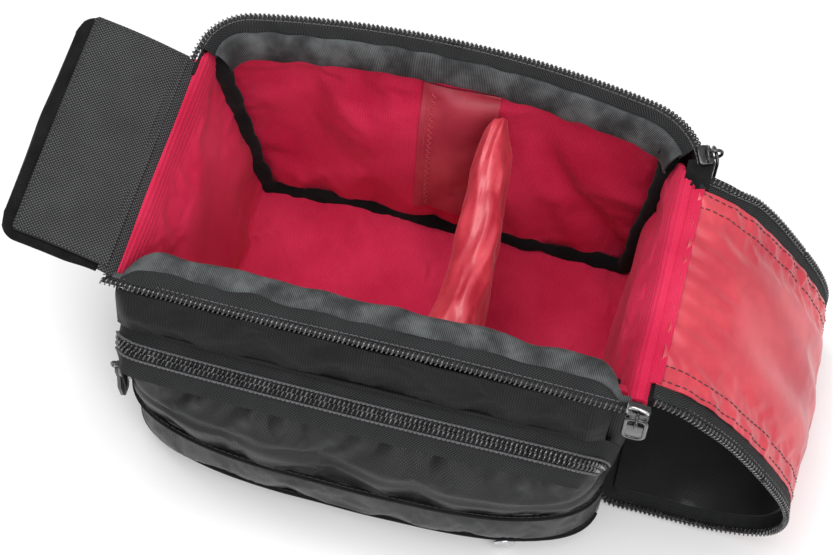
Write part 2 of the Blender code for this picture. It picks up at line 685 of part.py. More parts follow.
def far_tape_columns(far):
    """Four lines along the last panel's sides, each run on to the panel's end."""
    inner = coil_points(shortened(far, FAR_PANEL_CUT), 0.0)
    end_x, _, end_z = coil_points(shortened(far, COIL_INSET), 0.0)[-1]
    last_x, _, last_z = inner[-1]
    gap_x = last_x - GAP
    gap_z = end_z + (last_z - end_z) * (gap_x - end_x) / (last_x - end_x)
    columns = []
    front = (LID_COIL_Y[0] + COIL_INSET, LID_PANEL_Y[0] - GAP)
    back = (LID_PANEL_Y[1] + GAP, LID_COIL_Y[1] - COIL_INSET)
    for y in front + back:
        columns.append([(u, y, w) for u, _, w in inner] + [(gap_x, y, gap_z), (end_x, y, end_z)])
    return columns


def build_far_tape(far, parent):
    """Tape that runs down both sides of the last panel and across its end."""
    mesh = bpy.data.meshes.new("lid_far_tape")
    bm = bmesh.new()
    columns = [[bm.verts.new(Vector(p) * MM) for p in column] for column in far_tape_columns(far)]
    for a, b in (columns[:2], columns[2:]):
        for i in range(len(a) - 1):
            bm.faces.new((a[i], b[i], b[i + 1], a[i + 1]))
    bm.faces.new((columns[1][-2], columns[2][-2], columns[2][-1], columns[1][-1]))
    bmesh.ops.recalc_face_normals(bm, faces=bm.faces)
    bm.to_mesh(mesh)
    bm.free()
    ob = add("lid_far_tape", mesh, "tape", parent)
    mod = ob.modifiers.new("thickness", "SOLIDIFY")
    mod.thickness = (LID_TAPE[1] - LID_TAPE[0]) * MM
    mod.offset = 0.0


def build_far_coil(far, parent):
    """Zip coil that runs down one side of the last panel, across its end and back up."""
    y0, y1 = LID_COIL_Y
    down, up = coil_points(far, y0), coil_points(far, y1)[::-1]
    x, _, z = down[-1]
    cut = FAR_CORNER_CUT
    end = [(x + cut, y0, z), (x, y0 + cut, z), (x, y1 - cut, z), (x + cut, y1, z)]
    tube("lid_far_coil", "coil", down[:-1] + end + up[1:], COIL_R, parent)


# ---------------------------------------------------------------- build

clear_scene()
BAG = make_collection("camera_bag")
CUTTERS = make_collection("cutters")
build_base()
build_outer_shell()
build_foam()
build_lining()
build_rim()
build_front()
build_ring("left", -109.3, -0.11)
build_ring("right", 113.6, 0.087)
build_sliders()
build_divider()
build_flap()
build_lid()
bpy.context.view_layer.update()
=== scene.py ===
import math

import bmesh
import bpy
import numpy as np
from mathutils import Matrix, Vector


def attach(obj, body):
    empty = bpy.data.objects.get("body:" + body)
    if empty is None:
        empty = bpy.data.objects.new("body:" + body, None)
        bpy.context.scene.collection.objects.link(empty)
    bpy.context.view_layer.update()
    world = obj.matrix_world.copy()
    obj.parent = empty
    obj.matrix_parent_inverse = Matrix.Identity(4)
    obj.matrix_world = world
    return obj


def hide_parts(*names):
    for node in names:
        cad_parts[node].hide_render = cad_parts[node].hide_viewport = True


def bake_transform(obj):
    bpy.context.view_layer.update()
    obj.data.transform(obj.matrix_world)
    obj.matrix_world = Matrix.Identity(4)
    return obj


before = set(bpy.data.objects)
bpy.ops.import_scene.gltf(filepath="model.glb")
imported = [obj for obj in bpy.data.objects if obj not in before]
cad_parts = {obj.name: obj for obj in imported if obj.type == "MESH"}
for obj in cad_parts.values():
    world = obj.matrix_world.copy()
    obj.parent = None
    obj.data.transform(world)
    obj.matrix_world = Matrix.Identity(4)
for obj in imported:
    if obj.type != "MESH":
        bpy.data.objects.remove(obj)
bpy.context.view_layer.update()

# Lengths are millimetres, turned into metres when a mesh is made.
MM = 0.001
COIL_PITCH = 2.1
RIM_Z = 119.8
FRONT_COIL_Y = -64.5
BACK_COIL_Z = 121.5
RIGHT_ARC = (84.0, 48.0, 37.5)
LEFT_ARC_R = 24.0
BOW_HALF_ANGLE = 12.0
BOW_MID_X = -2.0
POCKET_MID_X, POCKET_HALF, POCKET_BACK_Y = -1.0, 109.0, -62.0
SIDE_RUN_X, SIDE_RUN_Y = -113.5, -70.0
POCKET_ZIP_Y, POCKET_ZIP_Z = -79.9, 90.0
D_RING_WIRE = 1.55


# ---------------------------------------------------------------- number helpers

def ease(t):
    t = np.clip(t, 0.0, 1.0)
    return t * t * (3 - 2 * t)


def ripples(u, v, seed, size, waves=9):
    """Smooth repeatable unevenness, about -1 to 1, over coordinates in mm."""
    rng = np.random.default_rng(seed)
    total = 0.0
    for _ in range(waves):
        a, phase = rng.uniform(0, 2 * np.pi, 2)
        f = 2 * np.pi / size * rng.uniform(0.5, 1.7)
        total = total + np.sin(f * (np.cos(a) * u + np.sin(a) * v) + phase)
    return total / waves ** 0.5


def resample(points, step=None, count=None):
    p = np.asarray(points, float)
    d = np.r_[0, np.cumsum(np.linalg.norm(np.diff(p, axis=0), axis=1))]
    n = count or max(int(round(d[-1] / step)) + 1, 2)
    s = np.linspace(0, d[-1], n)
    return np.stack([np.interp(s, d, p[:, k]) for k in range(p.shape[1])], 1)


def rounded(points, passes=3):
    """Corner-cut line that keeps its two ends."""
    p = np.asarray(points, float)
    for _ in range(passes):
        a, b = p[:-1], p[1:]
        mids = np.stack([0.75 * a + 0.25 * b, 0.25 * a + 0.75 * b], 1).reshape(-1, p.shape[1])
        p = np.vstack([p[:1], mids[1:-1], p[-1:]])
    return p


def arc(cx, cy, r, a0, a1, n):
    a = np.radians(np.linspace(a0, a1, n + 1))
    return np.stack([cx + r * np.cos(a), cy + r * np.sin(a)], 1)


def back_rim(offset, right_end=16.0, steps=24):
    """Rim line from the left end round the back to the right corner, moved inwards."""
    cx, cy, radius = RIGHT_ARC
    end = 90.0 - BOW_HALF_ANGLE
    c, s = math.cos(math.radians(end)), math.sin(math.radians(end))
    bow_r = (cx + radius * c - BOW_MID_X) / c
    bow_y = cy + (radius - bow_r) * s
    reach = bow_r - LEFT_ARC_R
    left = arc(BOW_MID_X - reach * c, bow_y + reach * s, LEFT_ARC_R - offset, 180, 180 - end, steps)
    bow = arc(BOW_MID_X, bow_y, bow_r - offset, 180 - end, end, 3 * steps)
    right = arc(cx, cy, radius - offset, end, right_end, steps)
    return np.vstack([left, bow[1:], right[1:]])


def pocket_line(depth, power, half=POCKET_HALF, count=121):
    """Bowed pocket front in plan, from its left end to its right end."""
    a = np.linspace(0, np.pi, 4 * count)
    c, s = np.cos(a), np.sin(a)
    x = POCKET_MID_X - np.sign(c) * np.abs(c) ** (2 / power) * half
    y = POCKET_BACK_Y - np.abs(s) ** (2 / power) * depth
    return resample(np.stack([x, y], 1), count=count)


def sheet_grid(x, y, z):
    """Grid of points from coordinates that broadcast together."""
    return np.stack(np.broadcast_arrays(x, y, z), -1)


def lift(line, z):
    return np.column_stack([line, np.broadcast_to(z, len(line))])


def normals(grid):
    n = np.cross(np.gradient(grid, axis=1), np.gradient(grid, axis=0))
    return n / (np.linalg.norm(n, axis=2, keepdims=True) + 1e-9)


def frames_along(path, up):
    """Tangent, side and up directions along a path."""
    t = np.gradient(path, axis=0)
    t /= np.linalg.norm(t, axis=1, keepdims=True) + 1e-9
    up = np.broadcast_to(np.asarray(up, float), path.shape)
    side = np.cross(t, up)
    side /= np.linalg.norm(side, axis=1, keepdims=True) + 1e-9
    return t, side, np.cross(side, t)


# ---------------------------------------------------------------- mesh helpers

def make_object(name, verts, faces, mats, face_mats=None, uv=None, sharp=None, smooth=True):
    mesh = bpy.data.meshes.new(name)
    mesh.from_pydata((np.asarray(verts) * MM).tolist(), [], faces)
    for m in mats:
        mesh.materials.append(m)
    if face_mats is not None:
        mesh.polygons.foreach_set("material_index", face_mats)
    mesh.polygons.foreach_set("use_smooth", [smooth] * len(mesh.polygons))
    if uv is not None:
        index = np.zeros(len(mesh.loops), np.int32)
        mesh.loops.foreach_get("vertex_index", index)
        layer = mesh.uv_layers.new(name="weave")
        layer.data.foreach_set("uv", np.asarray(uv, np.float32)[index].ravel())
    if smooth:
        mark_sharp(mesh)
    mesh.validate()
    mesh.update()
    ob = bpy.data.objects.new(name, mesh)
    bpy.context.scene.collection.objects.link(ob)
    return ob


def mark_sharp(mesh, degrees=50.0):
    """Sharp edges where two faces meet at more than an angle, so that creases stay crisp."""
    bm = bmesh.new()
    bm.from_mesh(mesh)
    limit = math.radians(degrees)
    for e in bm.edges:
        if len(e.link_faces) == 2 and e.calc_face_angle(0.0) > limit:
            e.smooth = False
    bm.to_mesh(mesh)
    bm.free()


def shell(name, front, thick, mats, sign=1, edge=0.3, uv_turn=False):
    """Closed cloth or pad: a grid seen from its front, its back face, and a rounded edge."""
    front = np.asarray(front, float)
    rows, cols = front.shape[:2]
    n = normals(front) * sign
    back = front - n * np.asarray(thick, float).reshape((rows, cols, 1) if np.ndim(thick) else ())
    flat_front, flat_back = front.reshape(-1, 3), back.reshape(-1, 3)
    count = rows * cols
    loop = [(0, j) for j in range(cols)] + [(i, cols - 1) for i in range(1, rows)]
    loop += [(rows - 1, j) for j in range(cols - 2, -1, -1)] + [(i, 0) for i in range(rows - 2, 0, -1)]
    ring = []
    for i, j in loop:
        inner = front[min(max(i, 1), rows - 2), min(max(j, 1), cols - 2)]
        mid = (front[i, j] + back[i, j]) / 2
        out = front[i, j] - inner
        out /= np.linalg.norm(out) + 1e-9
        ring.append(mid + out * edge * np.linalg.norm(front[i, j] - back[i, j]))
    verts = np.vstack([flat_front, flat_back, ring])
    i, j = np.meshgrid(np.arange(rows - 1), np.arange(cols - 1), indexing="ij")
    a = (i * cols + j).ravel()
    quads = np.stack([a, a + 1, a + cols + 1, a + cols], 1)
    if sign < 0:
        quads = quads[:, ::-1]
    faces = quads.tolist() + (quads[:, ::-1] + count).tolist()
    face_mats = [0] * len(quads) + [min(1, len(mats) - 1)] * len(quads)
    for k in range(len(loop)):
        p, q = loop[k], loop[(k + 1) % len(loop)]
        fa, fb = p[0] * cols + p[1], q[0] * cols + q[1]
        ra, rb = 2 * count + k, 2 * count + (k + 1) % len(loop)
        strips = [[fb, fa, ra, rb], [rb, ra, fa + count, fb + count]]
        if sign < 0:
            strips = [s[::-1] for s in strips]
        faces += strips
        face_mats += [0, min(1, len(mats) - 1)]
    u = np.r_[0, np.cumsum(np.linalg.norm(np.diff(front, axis=1), axis=2).mean(0))]
    v = np.r_[0, np.cumsum(np.linalg.norm(np.diff(front, axis=0), axis=2).mean(1))]
    uu, vv = np.meshgrid(u, v)
    if uv_turn:
        uu, vv = vv, uu
    flat = np.stack([uu, vv], 2)
    ring_uv = [flat[i, j] for i, j in loop]
    uv = np.vstack([flat.reshape(-1, 2), flat.reshape(-1, 2), ring_uv])
    return make_object(name, verts, faces, mats, face_mats, uv)


def tube(name, path, radius, mat, up=(0, 0, 1), sides=8, flat=1.0, closed=False):
    """Round or flattened cord along a path. radius may vary along it."""
    verts, faces, uv = tube_data(np.asarray(path, float), radius, up, sides, flat, closed)
    return make_object(name, verts, faces, [mat], uv=uv)


def tube_data(path, radius, up=(0, 0, 1), sides=8, flat=1.0, closed=False):
    _, side, lift_dir = frames_along(path, up)
    radius = np.broadcast_to(radius, len(path))
    a = np.linspace(0, 2 * np.pi, sides, endpoint=False)
    ring = (side[:, None] * np.cos(a)[None, :, None]
            + lift_dir[:, None] * np.sin(a)[None, :, None] * flat)
    verts = (path[:, None] + ring * radius[:, None, None]).reshape(-1, 3)
    faces = []
    last = len(path) if closed else len(path) - 1
    for i in range(last):
        k = (i + 1) % len(path)
        for j in range(sides):
            m = (j + 1) % sides
            faces.append([i * sides + j, k * sides + j, k * sides + m, i * sides + m])
    if not closed:
        faces.append(list(range(sides)))
        faces.append([(len(path) - 1) * sides + j for j in range(sides - 1, -1, -1)])
    s = np.r_[0, np.cumsum(np.linalg.norm(np.diff(path, axis=0), axis=1))]
    uv = np.stack([np.repeat(s, sides), np.tile(a * radius.mean(), len(path))], 1)
    return verts, faces, uv


def merged(name, parts, mats):
    """One object from several (verts, faces, uv) parts."""
    verts, faces, uvs, start = [], [], [], 0
    for v, f, uv in parts:
        verts.append(v)
        uvs.append(uv)
        faces += [[i + start for i in face] for face in f]
        start += len(v)
    return make_object(name, np.vstack(verts), faces, mats, uv=np.vstack(uvs))


def resample_pair(path, up, step):
    """Resampled path with its up directions, which may vary along it."""
    path = np.asarray(path, float)
    up = np.broadcast_to(np.asarray(up, float), path.shape)
    d = np.r_[0, np.cumsum(np.linalg.norm(np.diff(path, axis=0), axis=1))]
    s = np.linspace(0, d[-1], max(int(round(d[-1] / step)) + 1, 2))
    both = np.hstack([path, up])
    out = np.stack([np.interp(s, d, both[:, k]) for k in range(6)], 1)
    return out[:, :3], out[:, 3:]


def coil_data(path, up, half_width=1.45, half_height=1.15, wire=0.42, turn=0.0, steps=10):
    """Helix of nylon wire wound along the edge of a zip tape."""
    path, up = resample_pair(path, up, 0.5)
    length = np.linalg.norm(np.diff(path, axis=0), axis=1).sum()
    turns = int(length / COIL_PITCH)
    s = np.linspace(0, len(path) - 1, turns * steps + 1)
    k = np.arange(len(path))
    _, side, lift_dir = frames_along(path, up)
    at = [np.stack([np.interp(s, k, a[:, i]) for i in range(3)], 1) for a in (path, side, lift_dir)]
    angle = np.linspace(0, 2 * np.pi * turns, len(s)) + turn
    line = (at[0] + at[1] * (half_width * np.cos(angle))[:, None]
            + at[2] * (half_height * np.sin(angle))[:, None])
    return tube_data(line, wire, at[2], sides=6)


def zip_edge(name, path, up=(0, 0, 1), tape_side=1.0):
    """Open half of a coil zip: wire helix, filler cord inside it, and its stitches."""
    ob = merged(name, [coil_data(path, up)], [COIL])
    fine, fine_up = resample_pair(path, up, 1.2)
    _, side, lift_dir = frames_along(fine, fine_up)
    core = tube(f"{name}_cord", fine + side * tape_side * 0.3, 1.05, TAPE_PLAIN, up=fine_up, sides=8)
    row = stitches(f"{name}_stitches", fine + side * tape_side * 2.6 + lift_dir * 0.9,
                   THREAD_GREY, length=1.7, gap=0.5, radius=0.26, up=lift_dir)
    return [ob, core, row]


def stitches(name, path, mat, length=2.6, gap=0.9, radius=0.26, up=(0, 0, 1), zigzag=0.0):
    """Row of separate thread stitches lying on a surface."""
    path, up = resample_pair(path, up, 0.4)
    total = 0.4 * (len(path) - 1)
    count = max(int(total / (length + gap)), 1)
    _, side, lift_dir = frames_along(path, up)
    parts = []
    for i in range(count):
        s = np.linspace(i * (length + gap), i * (length + gap) + length, 5) / 0.4
        k = np.clip(s.astype(int), 0, len(path) - 1)
        hump = np.array([-0.7, 0.2, 0.45, 0.2, -0.7]) * radius * 1.6
        swing = np.linspace(-1, 1, 5) * zigzag * (1 if i % 2 else -1)
        line = path[k] + lift_dir[k] * hump[:, None] + side[k] * swing[:, None]
        if np.linalg.norm(line[-1] - line[0]) > 0.2:
            parts.append(tube_data(line, radius, up[k], sides=5))
    return merged(name, parts, [mat])


def relax(grid, pinned, pressure=0.0, grow=0.02, cap=4.0, bend=0.3, frames=18):
    """Lets a grid settle as cloth that is cut slightly larger than the seams that hold it."""
    rows, cols = grid.shape[:2]
    verts = (grid.reshape(-1, 3) * MM).tolist()
    faces = [(i * cols + j, i * cols + j + 1, (i + 1) * cols + j + 1, (i + 1) * cols + j)
             for i in range(rows - 1) for j in range(cols - 1)]
    mesh = bpy.data.meshes.new("relaxing")
    mesh.from_pydata(verts, [], faces)
    ob = bpy.data.objects.new("relaxing", mesh)
    bpy.context.scene.collection.objects.link(ob)
    group = ob.vertex_groups.new(name="seams")
    for index, weight in enumerate(np.asarray(pinned, float).ravel()):
        group.add([index], float(weight), "REPLACE")
    mod = ob.modifiers.new("cloth", "CLOTH")
    s = mod.settings
    s.quality = 5
    s.mass = 0.2
    s.tension_stiffness = 12.0
    s.compression_stiffness = 12.0
    s.shear_stiffness = 4.0
    s.bending_stiffness = bend
    s.vertex_group_mass = "seams"
    s.pin_stiffness = 1.0
    s.shrink_min = -grow
    s.use_pressure = pressure != 0.0
    s.uniform_pressure_force = pressure
    s.effector_weights.gravity = 0.0
    mod.collision_settings.use_collision = False
    mod.point_cache.frame_start = 1
    mod.point_cache.frame_end = frames
    for f in range(1, frames + 1):
        bpy.context.scene.frame_set(f)
    dg = bpy.context.evaluated_depsgraph_get()
    out = np.zeros(rows * cols * 3)
    ob.evaluated_get(dg).data.vertices.foreach_get("co", out)
    bpy.data.objects.remove(ob)
    bpy.data.meshes.remove(mesh)
    bpy.context.scene.frame_set(1)
    move = out.reshape(grid.shape) / MM - grid
    size = np.linalg.norm(move, axis=2, keepdims=True)
    return grid + move * np.minimum(1.0, cap / (size + 1e-9))


def border(grid, width=1):
    """Pin mask that holds a grid's outer rows and columns."""
    mask = np.zeros(grid.shape[:2])
    mask[:width], mask[-width:], mask[:, :width], mask[:, -width:] = 1, 1, 1, 1
    return mask


def refine(grid, times=2):
    """Smoothly resampled grid with more rows and columns."""
    rows, cols = grid.shape[:2]
    for axis, count in ((0, rows), (1, cols)):
        new = np.linspace(0, count - 1, (count - 1) * times + 1)
        grid = catmull(grid, new, axis)
    return grid


def catmull(values, at, axis):
    v = np.moveaxis(values, axis, 0)
    k = np.clip(np.floor(at).astype(int), 0, len(v) - 2)
    t = (at - k).reshape((-1,) + (1,) * (v.ndim - 1))
    p0, p1 = v[np.maximum(k - 1, 0)], v[k]
    p2, p3 = v[k + 1], v[np.minimum(k + 2, len(v) - 1)]
    out = 0.5 * (2 * p1 + (p2 - p0) * t + (2 * p0 - 5 * p1 + 4 * p2 - p3) * t ** 2
                 + (3 * p1 - p0 - 3 * p2 + p3) * t ** 3)
    return np.moveaxis(out, 0, axis)


def finish_piece(obs, body=None, nodes=()):
    """Rides pieces on a body, and hides the CAD nodes they stand in for."""
    obs = obs if isinstance(obs, list) else [obs]
    for k, ob in enumerate(obs):
        if body:
            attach(ob, body)
        if nodes and k == 0:
            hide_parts(*nodes)
    return obs


# The size each cloth is cut to, in mm, worked out from the design's own measures and not read off the
# finished meshes. The lid's satin runs between its hems, the outside wraps the walls at half height, the
# facings are as wide as their folded profile, and a ring tab runs down, round the ring and back up.
CUTS = {
    "lid_satin_near": (97.0, 74.0),
    "lid_satin_far": (97.0, 139.0),
    "lid_tape_near_back": (10.4, 74.0),
    "lid_tape_far_back": (10.4, 147.0),
    "lid_hinge_backing": (11.5, 118.5),
    "end_flap_cover": (112.8, 45.1),
    "outer_wrap": (431.0, 115.3),
    "outer_back_panel": (284.0, 118.6),
    "facing_front_band": (228.5, 15.7),
    "facing_back_band": (234.0, 16.5),
    "divider_back_tab": (35.5, 77.0),
    "divider_front_tab": (21.0, 79.0),
    "ring_tab_left_strap": (25.0, 68.5),
    "ring_tab_right_strap": (25.0, 68.5),
}


# ---------------------------------------------------------------- materials

class Graph:
    """Small helper for node-based materials."""

    def __init__(self, name):
        self.mat = bpy.data.materials.new(name)
        self.mat.use_nodes = True
        self.tree = self.mat.node_tree
        self.bsdf = self.tree.nodes["Principled BSDF"]
        self.uv = self.node("ShaderNodeTexCoord").outputs["UV"]
        self.spot = self.node("ShaderNodeTexCoord").outputs["Object"]

    def node(self, kind, **settings):
        n = self.tree.nodes.new(kind)
        for key, value in settings.items():
            setattr(n, key, value)
        return n

    def link(self, source, target):
        if isinstance(source, (int, float, tuple)):
            target.default_value = source
        else:
            self.tree.links.new(source, target)

    def math(self, op, a, b=0.0, c=0.0):
        n = self.node("ShaderNodeMath", operation=op)
        for k, value in enumerate((a, b, c)):
            self.link(value, n.inputs[k])
        return n.outputs[0]

    def noise(self, scale, detail=3.0, where=None, rough=0.55):
        n = self.node("ShaderNodeTexNoise")
        n.inputs["Scale"].default_value = scale
        n.inputs["Detail"].default_value = detail
        n.inputs["Roughness"].default_value = rough
        self.link(where or self.spot, n.inputs["Vector"])
        return n.outputs["Fac"]

    def mix(self, factor, a, b):
        n = self.node("ShaderNodeMix", data_type="RGBA")
        self.link(factor, n.inputs[0])
        for value, socket in ((a, n.inputs[6]), (b, n.inputs[7])):
            self.link((*value, 1.0) if isinstance(value, tuple) else value, socket)
        return n.outputs[2]

    def ramp(self, value, low, high):
        n = self.node("ShaderNodeMapRange")
        n.interpolation_type = "SMOOTHSTEP"
        self.link(value, n.inputs[0])
        n.inputs[1].default_value, n.inputs[2].default_value = low, high
        return n.outputs[0]

    def bump(self, height, strength, distance):
        n = self.node("ShaderNodeBump")
        n.inputs["Strength"].default_value = strength
        n.inputs["Distance"].default_value = distance * MM
        self.link(height, n.inputs["Height"])
        self.link(n.outputs[0], self.bsdf.inputs["Normal"])

    def set(self, **values):
        names = {"rough": "Roughness", "metal": "Metallic", "sheen": "Sheen Weight",
                 "sheen_rough": "Sheen Roughness", "coat": "Coat Weight",
                 "coat_rough": "Coat Roughness", "spec": "Specular IOR Level",
                 "aniso": "Anisotropic"}
        for key, value in values.items():
            self.bsdf.inputs[names[key]].default_value = value
        return self

    def axes(self):
        n = self.node("ShaderNodeSeparateXYZ")
        self.link(self.uv, n.inputs[0])
        return n.outputs[0], n.outputs[1]

    def wave(self, value, pitch, shift=0.0):
        """Sine of a length in mm, from 0 to 1."""
        angle = self.math("MULTIPLY_ADD", value, 2 * math.pi / pitch, shift)
        return self.math("MULTIPLY_ADD", self.math("SINE", angle), 0.5, 0.5)


def basket_weave(name, dark, light, pitch, rough, depth, sheen=0.02, patch=0.5):
    """Coarse two-over-two weave, as on ballistic nylon."""
    g = Graph(name)
    u, v = g.axes()
    a = g.math("SINE", g.math("MULTIPLY", u, math.pi / pitch))
    b = g.math("SINE", g.math("MULTIPLY", v, math.pi / pitch))
    cell = g.math("MULTIPLY", a, b)
    height = g.math("ABSOLUTE", cell)
    both = g.math("MULTIPLY_ADD", g.noise(900.0, 2.0), 0.3, height)
    # paler on every other cell, with noise mottling; on the ballistic nylon this paler tone is partly the
    # weave's own pattern and partly painted highlight on the yarns
    tone = g.ramp(g.math("MULTIPLY_ADD", g.noise(60.0, 4.0), patch, cell), 0.0, 1.25)
    g.link(g.mix(tone, dark, light), g.bsdf.inputs["Base Color"])
    g.bump(both, 0.75, depth)
    g.link(g.math("MULTIPLY_ADD", tone, -0.18, rough), g.bsdf.inputs["Roughness"])
    return g.set(sheen=sheen, sheen_rough=0.5, spec=0.3).mat


def ribbed(name, dark, light, pitch, rough, depth, sheen=0.03, patch=0.6, across=True):
    """Fine ribs, as on grosgrain or plain nylon."""
    g = Graph(name)
    u, v = g.axes()
    rib = g.wave(u if across else v, pitch)
    fine = g.wave(v if across else u, pitch * 0.55)
    height = g.math("MULTIPLY_ADD", fine, 0.25, rib)
    cloud = g.noise(75.0, 4.0)
    tone = g.ramp(g.math("MULTIPLY_ADD", cloud, patch * 2, g.math("MULTIPLY", height, 0.5)),
                  0.35 + patch * 0.6, 1.0 + patch * 0.9)
    g.link(g.mix(tone, dark, light), g.bsdf.inputs["Base Color"])
    g.bump(height, 0.6, depth)
    return g.set(rough=rough, sheen=sheen, sheen_rough=0.4, spec=0.22).mat


def herringbone(name, dark, light, column, pitch, rough, depth):
    """Zig-zag twill, as on woven zip tape."""
    g = Graph(name)
    u, v = g.axes()
    zig = g.math("PINGPONG", v, column)
    diagonal = g.wave(g.math("ADD", u, zig), pitch)
    height = g.math("MULTIPLY_ADD", g.noise(900.0, 2.0), 0.3, diagonal)
    tone = g.ramp(g.math("MULTIPLY_ADD", g.noise(70.0, 3.0), 0.5, height), 0.3, 1.5)
    g.link(g.mix(tone, dark, light), g.bsdf.inputs["Base Color"])
    g.bump(height, 0.7, depth)
    return g.set(rough=rough, sheen=0.0, spec=0.2).mat


def brushed_knit(name, deep, bright, rough=0.95):
    """Soft brushed loop fabric with fine wales and slightly paler patches at random."""
    g = Graph(name)
    u, v = g.axes()
    wobble = g.math("MULTIPLY", g.noise(350.0, 3.0), 1.4)
    wale = g.wave(g.math("ADD", u, wobble), 1.15)
    loop = g.wave(g.math("ADD", v, wobble), 1.0)
    fuzz = g.noise(2600.0, 3.0)
    rows = g.math("MULTIPLY_ADD", loop, 0.35, g.math("MULTIPLY", wale, 0.55))
    height = g.math("MULTIPLY_ADD", fuzz, 2.2, rows)
    cloud = g.noise(22.0, 4.0)
    tone = g.ramp(g.math("MULTIPLY_ADD", height, 0.24, cloud), 0.55, 1.25)
    g.link(g.mix(tone, deep, bright), g.bsdf.inputs["Base Color"])
    g.bump(height, 0.55, 0.22)
    g.bsdf.inputs["Sheen Tint"].default_value = (1.0, 0.45, 0.5, 1.0)
    return g.set(rough=rough, sheen=0.1, sheen_rough=0.35, spec=0.08).mat


def satin(name, deep, bright, rough=0.38):
    """Smooth shiny lining cloth with soft creases."""
    g = Graph(name)
    u, v = g.axes()
    thread = g.wave(g.math("ADD", u, g.math("MULTIPLY", g.noise(120.0), 2.0)), 0.7)
    cloud = g.noise(35.0, 4.0)
    crease = g.noise(55.0, 5.0, rough=0.6)
    tone = g.ramp(g.math("MULTIPLY_ADD", thread, 0.06, cloud), 0.35, 0.75)
    g.link(g.mix(tone, deep, bright), g.bsdf.inputs["Base Color"])
    g.bump(g.math("MULTIPLY_ADD", crease, 4.0, g.math("MULTIPLY", thread, 0.25)), 0.5, 0.14)
    g.bsdf.inputs["Sheen Tint"].default_value = (1.0, 0.6, 0.6, 1.0)
    return g.set(rough=rough, sheen=0.2, sheen_rough=0.3, spec=0.6, coat=0.1, coat_rough=0.25).mat


def felted(name, dark, light, rough=0.95):
    """Fuzzy black binding tape."""
    g = Graph(name)
    u, v = g.axes()
    fuzz = g.noise(1800.0, 4.0)
    twill = g.wave(g.math("ADD", u, v), 1.1)
    height = g.math("MULTIPLY_ADD", twill, 0.4, fuzz)
    tone = g.ramp(g.math("MULTIPLY_ADD", g.noise(90.0, 4.0), 0.8, g.math("MULTIPLY", height, 0.5)),
                  0.4, 1.3)
    g.link(g.mix(tone, dark, light), g.bsdf.inputs["Base Color"])
    g.bump(height, 0.7, 0.2)
    return g.set(rough=rough, sheen=0.05, sheen_rough=0.5, spec=0.12).mat


def hard(name, dark, light, rough, metal=0.0, coat=0.0, grain=300.0, depth=0.03):
    """Moulded plastic, wire or metal with paler spots at random: slight wear, and on the zip coil painted
    highlight.
    """
    g = Graph(name)
    spots = g.noise(grain, 4.0)
    tone = g.ramp(spots, 0.35, 0.75)
    g.link(g.mix(tone, dark, light), g.bsdf.inputs["Base Color"])
    g.link(g.math("MULTIPLY_ADD", tone, 0.12, rough - 0.06), g.bsdf.inputs["Roughness"])
    g.bump(spots, 0.3, depth)
    return g.set(metal=metal, coat=coat, coat_rough=0.15).mat


def thread(name, dark, light):
    g = Graph(name)
    u, v = g.axes()
    twist = g.wave(g.math("ADD", u, g.math("MULTIPLY", v, 2.0)), 0.5)
    g.link(g.mix(twist, dark, light), g.bsdf.inputs["Base Color"])
    g.bump(twist, 0.5, 0.05)
    return g.set(rough=0.6, sheen=0.2, spec=0.3).mat


# the light tone here is partly the weave's pattern and partly painted highlight on the yarns, raised so the
# flap's weave shows bright
BALLISTIC = basket_weave("ballistic_nylon_weave", (0.004, 0.004, 0.0045), (0.095, 0.097, 0.100),
                         0.8, 0.6, 0.22)
QUILT = basket_weave("quilted_nylon", (0.004, 0.004, 0.0045), (0.034, 0.035, 0.037), 0.8, 0.42, 0.14)
PLAIN = ribbed("plain_nylon_ribs", (0.0035, 0.0035, 0.004), (0.021, 0.021, 0.023), 1.1, 0.6, 0.2,
               patch=0.3)
GROSGRAIN = ribbed("grosgrain_facing", (0.014, 0.015, 0.016), (0.115, 0.124, 0.126), 0.8, 0.6, 0.16,
                   sheen=0.1, patch=0.9)
TAPE = herringbone("zip_tape_herringbone", (0.003, 0.003, 0.0035), (0.030, 0.031, 0.032),
                   3.2, 1.3, 0.7, 0.2)
TAPE_PLAIN = hard("zip_filler_cord", (0.005, 0.005, 0.006), (0.015, 0.015, 0.016), 0.8)
# the coil's pale spots are painted highlight: the paler tone is lifted so the wire shows bright glints on the
# black
COIL = hard("zip_coil_nylon", (0.012, 0.012, 0.013), (0.09, 0.09, 0.095), 0.16, coat=1.0)
KNIT = brushed_knit("red_brushed_lining", (0.46, 0.012, 0.048), (0.68, 0.038, 0.100))
SATIN = satin("red_satin_lining", (0.42, 0.018, 0.038), (0.60, 0.052, 0.072))
DUSTY = satin("dusty_red_tab", (0.34, 0.022, 0.045), (0.46, 0.050, 0.070), rough=0.55)
WEBBING = felted("black_binding", (0.002, 0.002, 0.0022), (0.016, 0.016, 0.017))
STRAP = ribbed("black_webbing", (0.006, 0.006, 0.007), (0.04, 0.04, 0.043), 1.6, 0.7, 0.3, patch=0.3)
BOARD = hard("stiffener_board", (0.03, 0.03, 0.03), (0.07, 0.07, 0.07), 0.6)
STEEL = hard("bright_steel", (0.55, 0.55, 0.57), (0.75, 0.75, 0.77), 0.22, metal=1.0)
BLACK_METAL = hard("black_metal", (0.006, 0.006, 0.007), (0.014, 0.014, 0.015), 0.24, metal=0.1,
                   coat=0.8)
MOULDED = hard("moulded_pull", (0.008, 0.008, 0.009), (0.025, 0.025, 0.027), 0.42, coat=0.2)
THREAD_BLACK = thread("black_thread", (0.004, 0.004, 0.005), (0.03, 0.03, 0.032))
THREAD_GREY = thread("grey_thread", (0.02, 0.02, 0.022), (0.16, 0.16, 0.17))
THREAD_RED = thread("red_thread", (0.35, 0.01, 0.03), (0.6, 0.05, 0.08))


# ---------------------------------------------------------------- lining

def wall_left(z):
    return -92.0 - 16.0 * (z - 11.4) / 102.6


def wall_right(z):
    return 99.0 + 9.9 * (z - 11.4) / 102.6


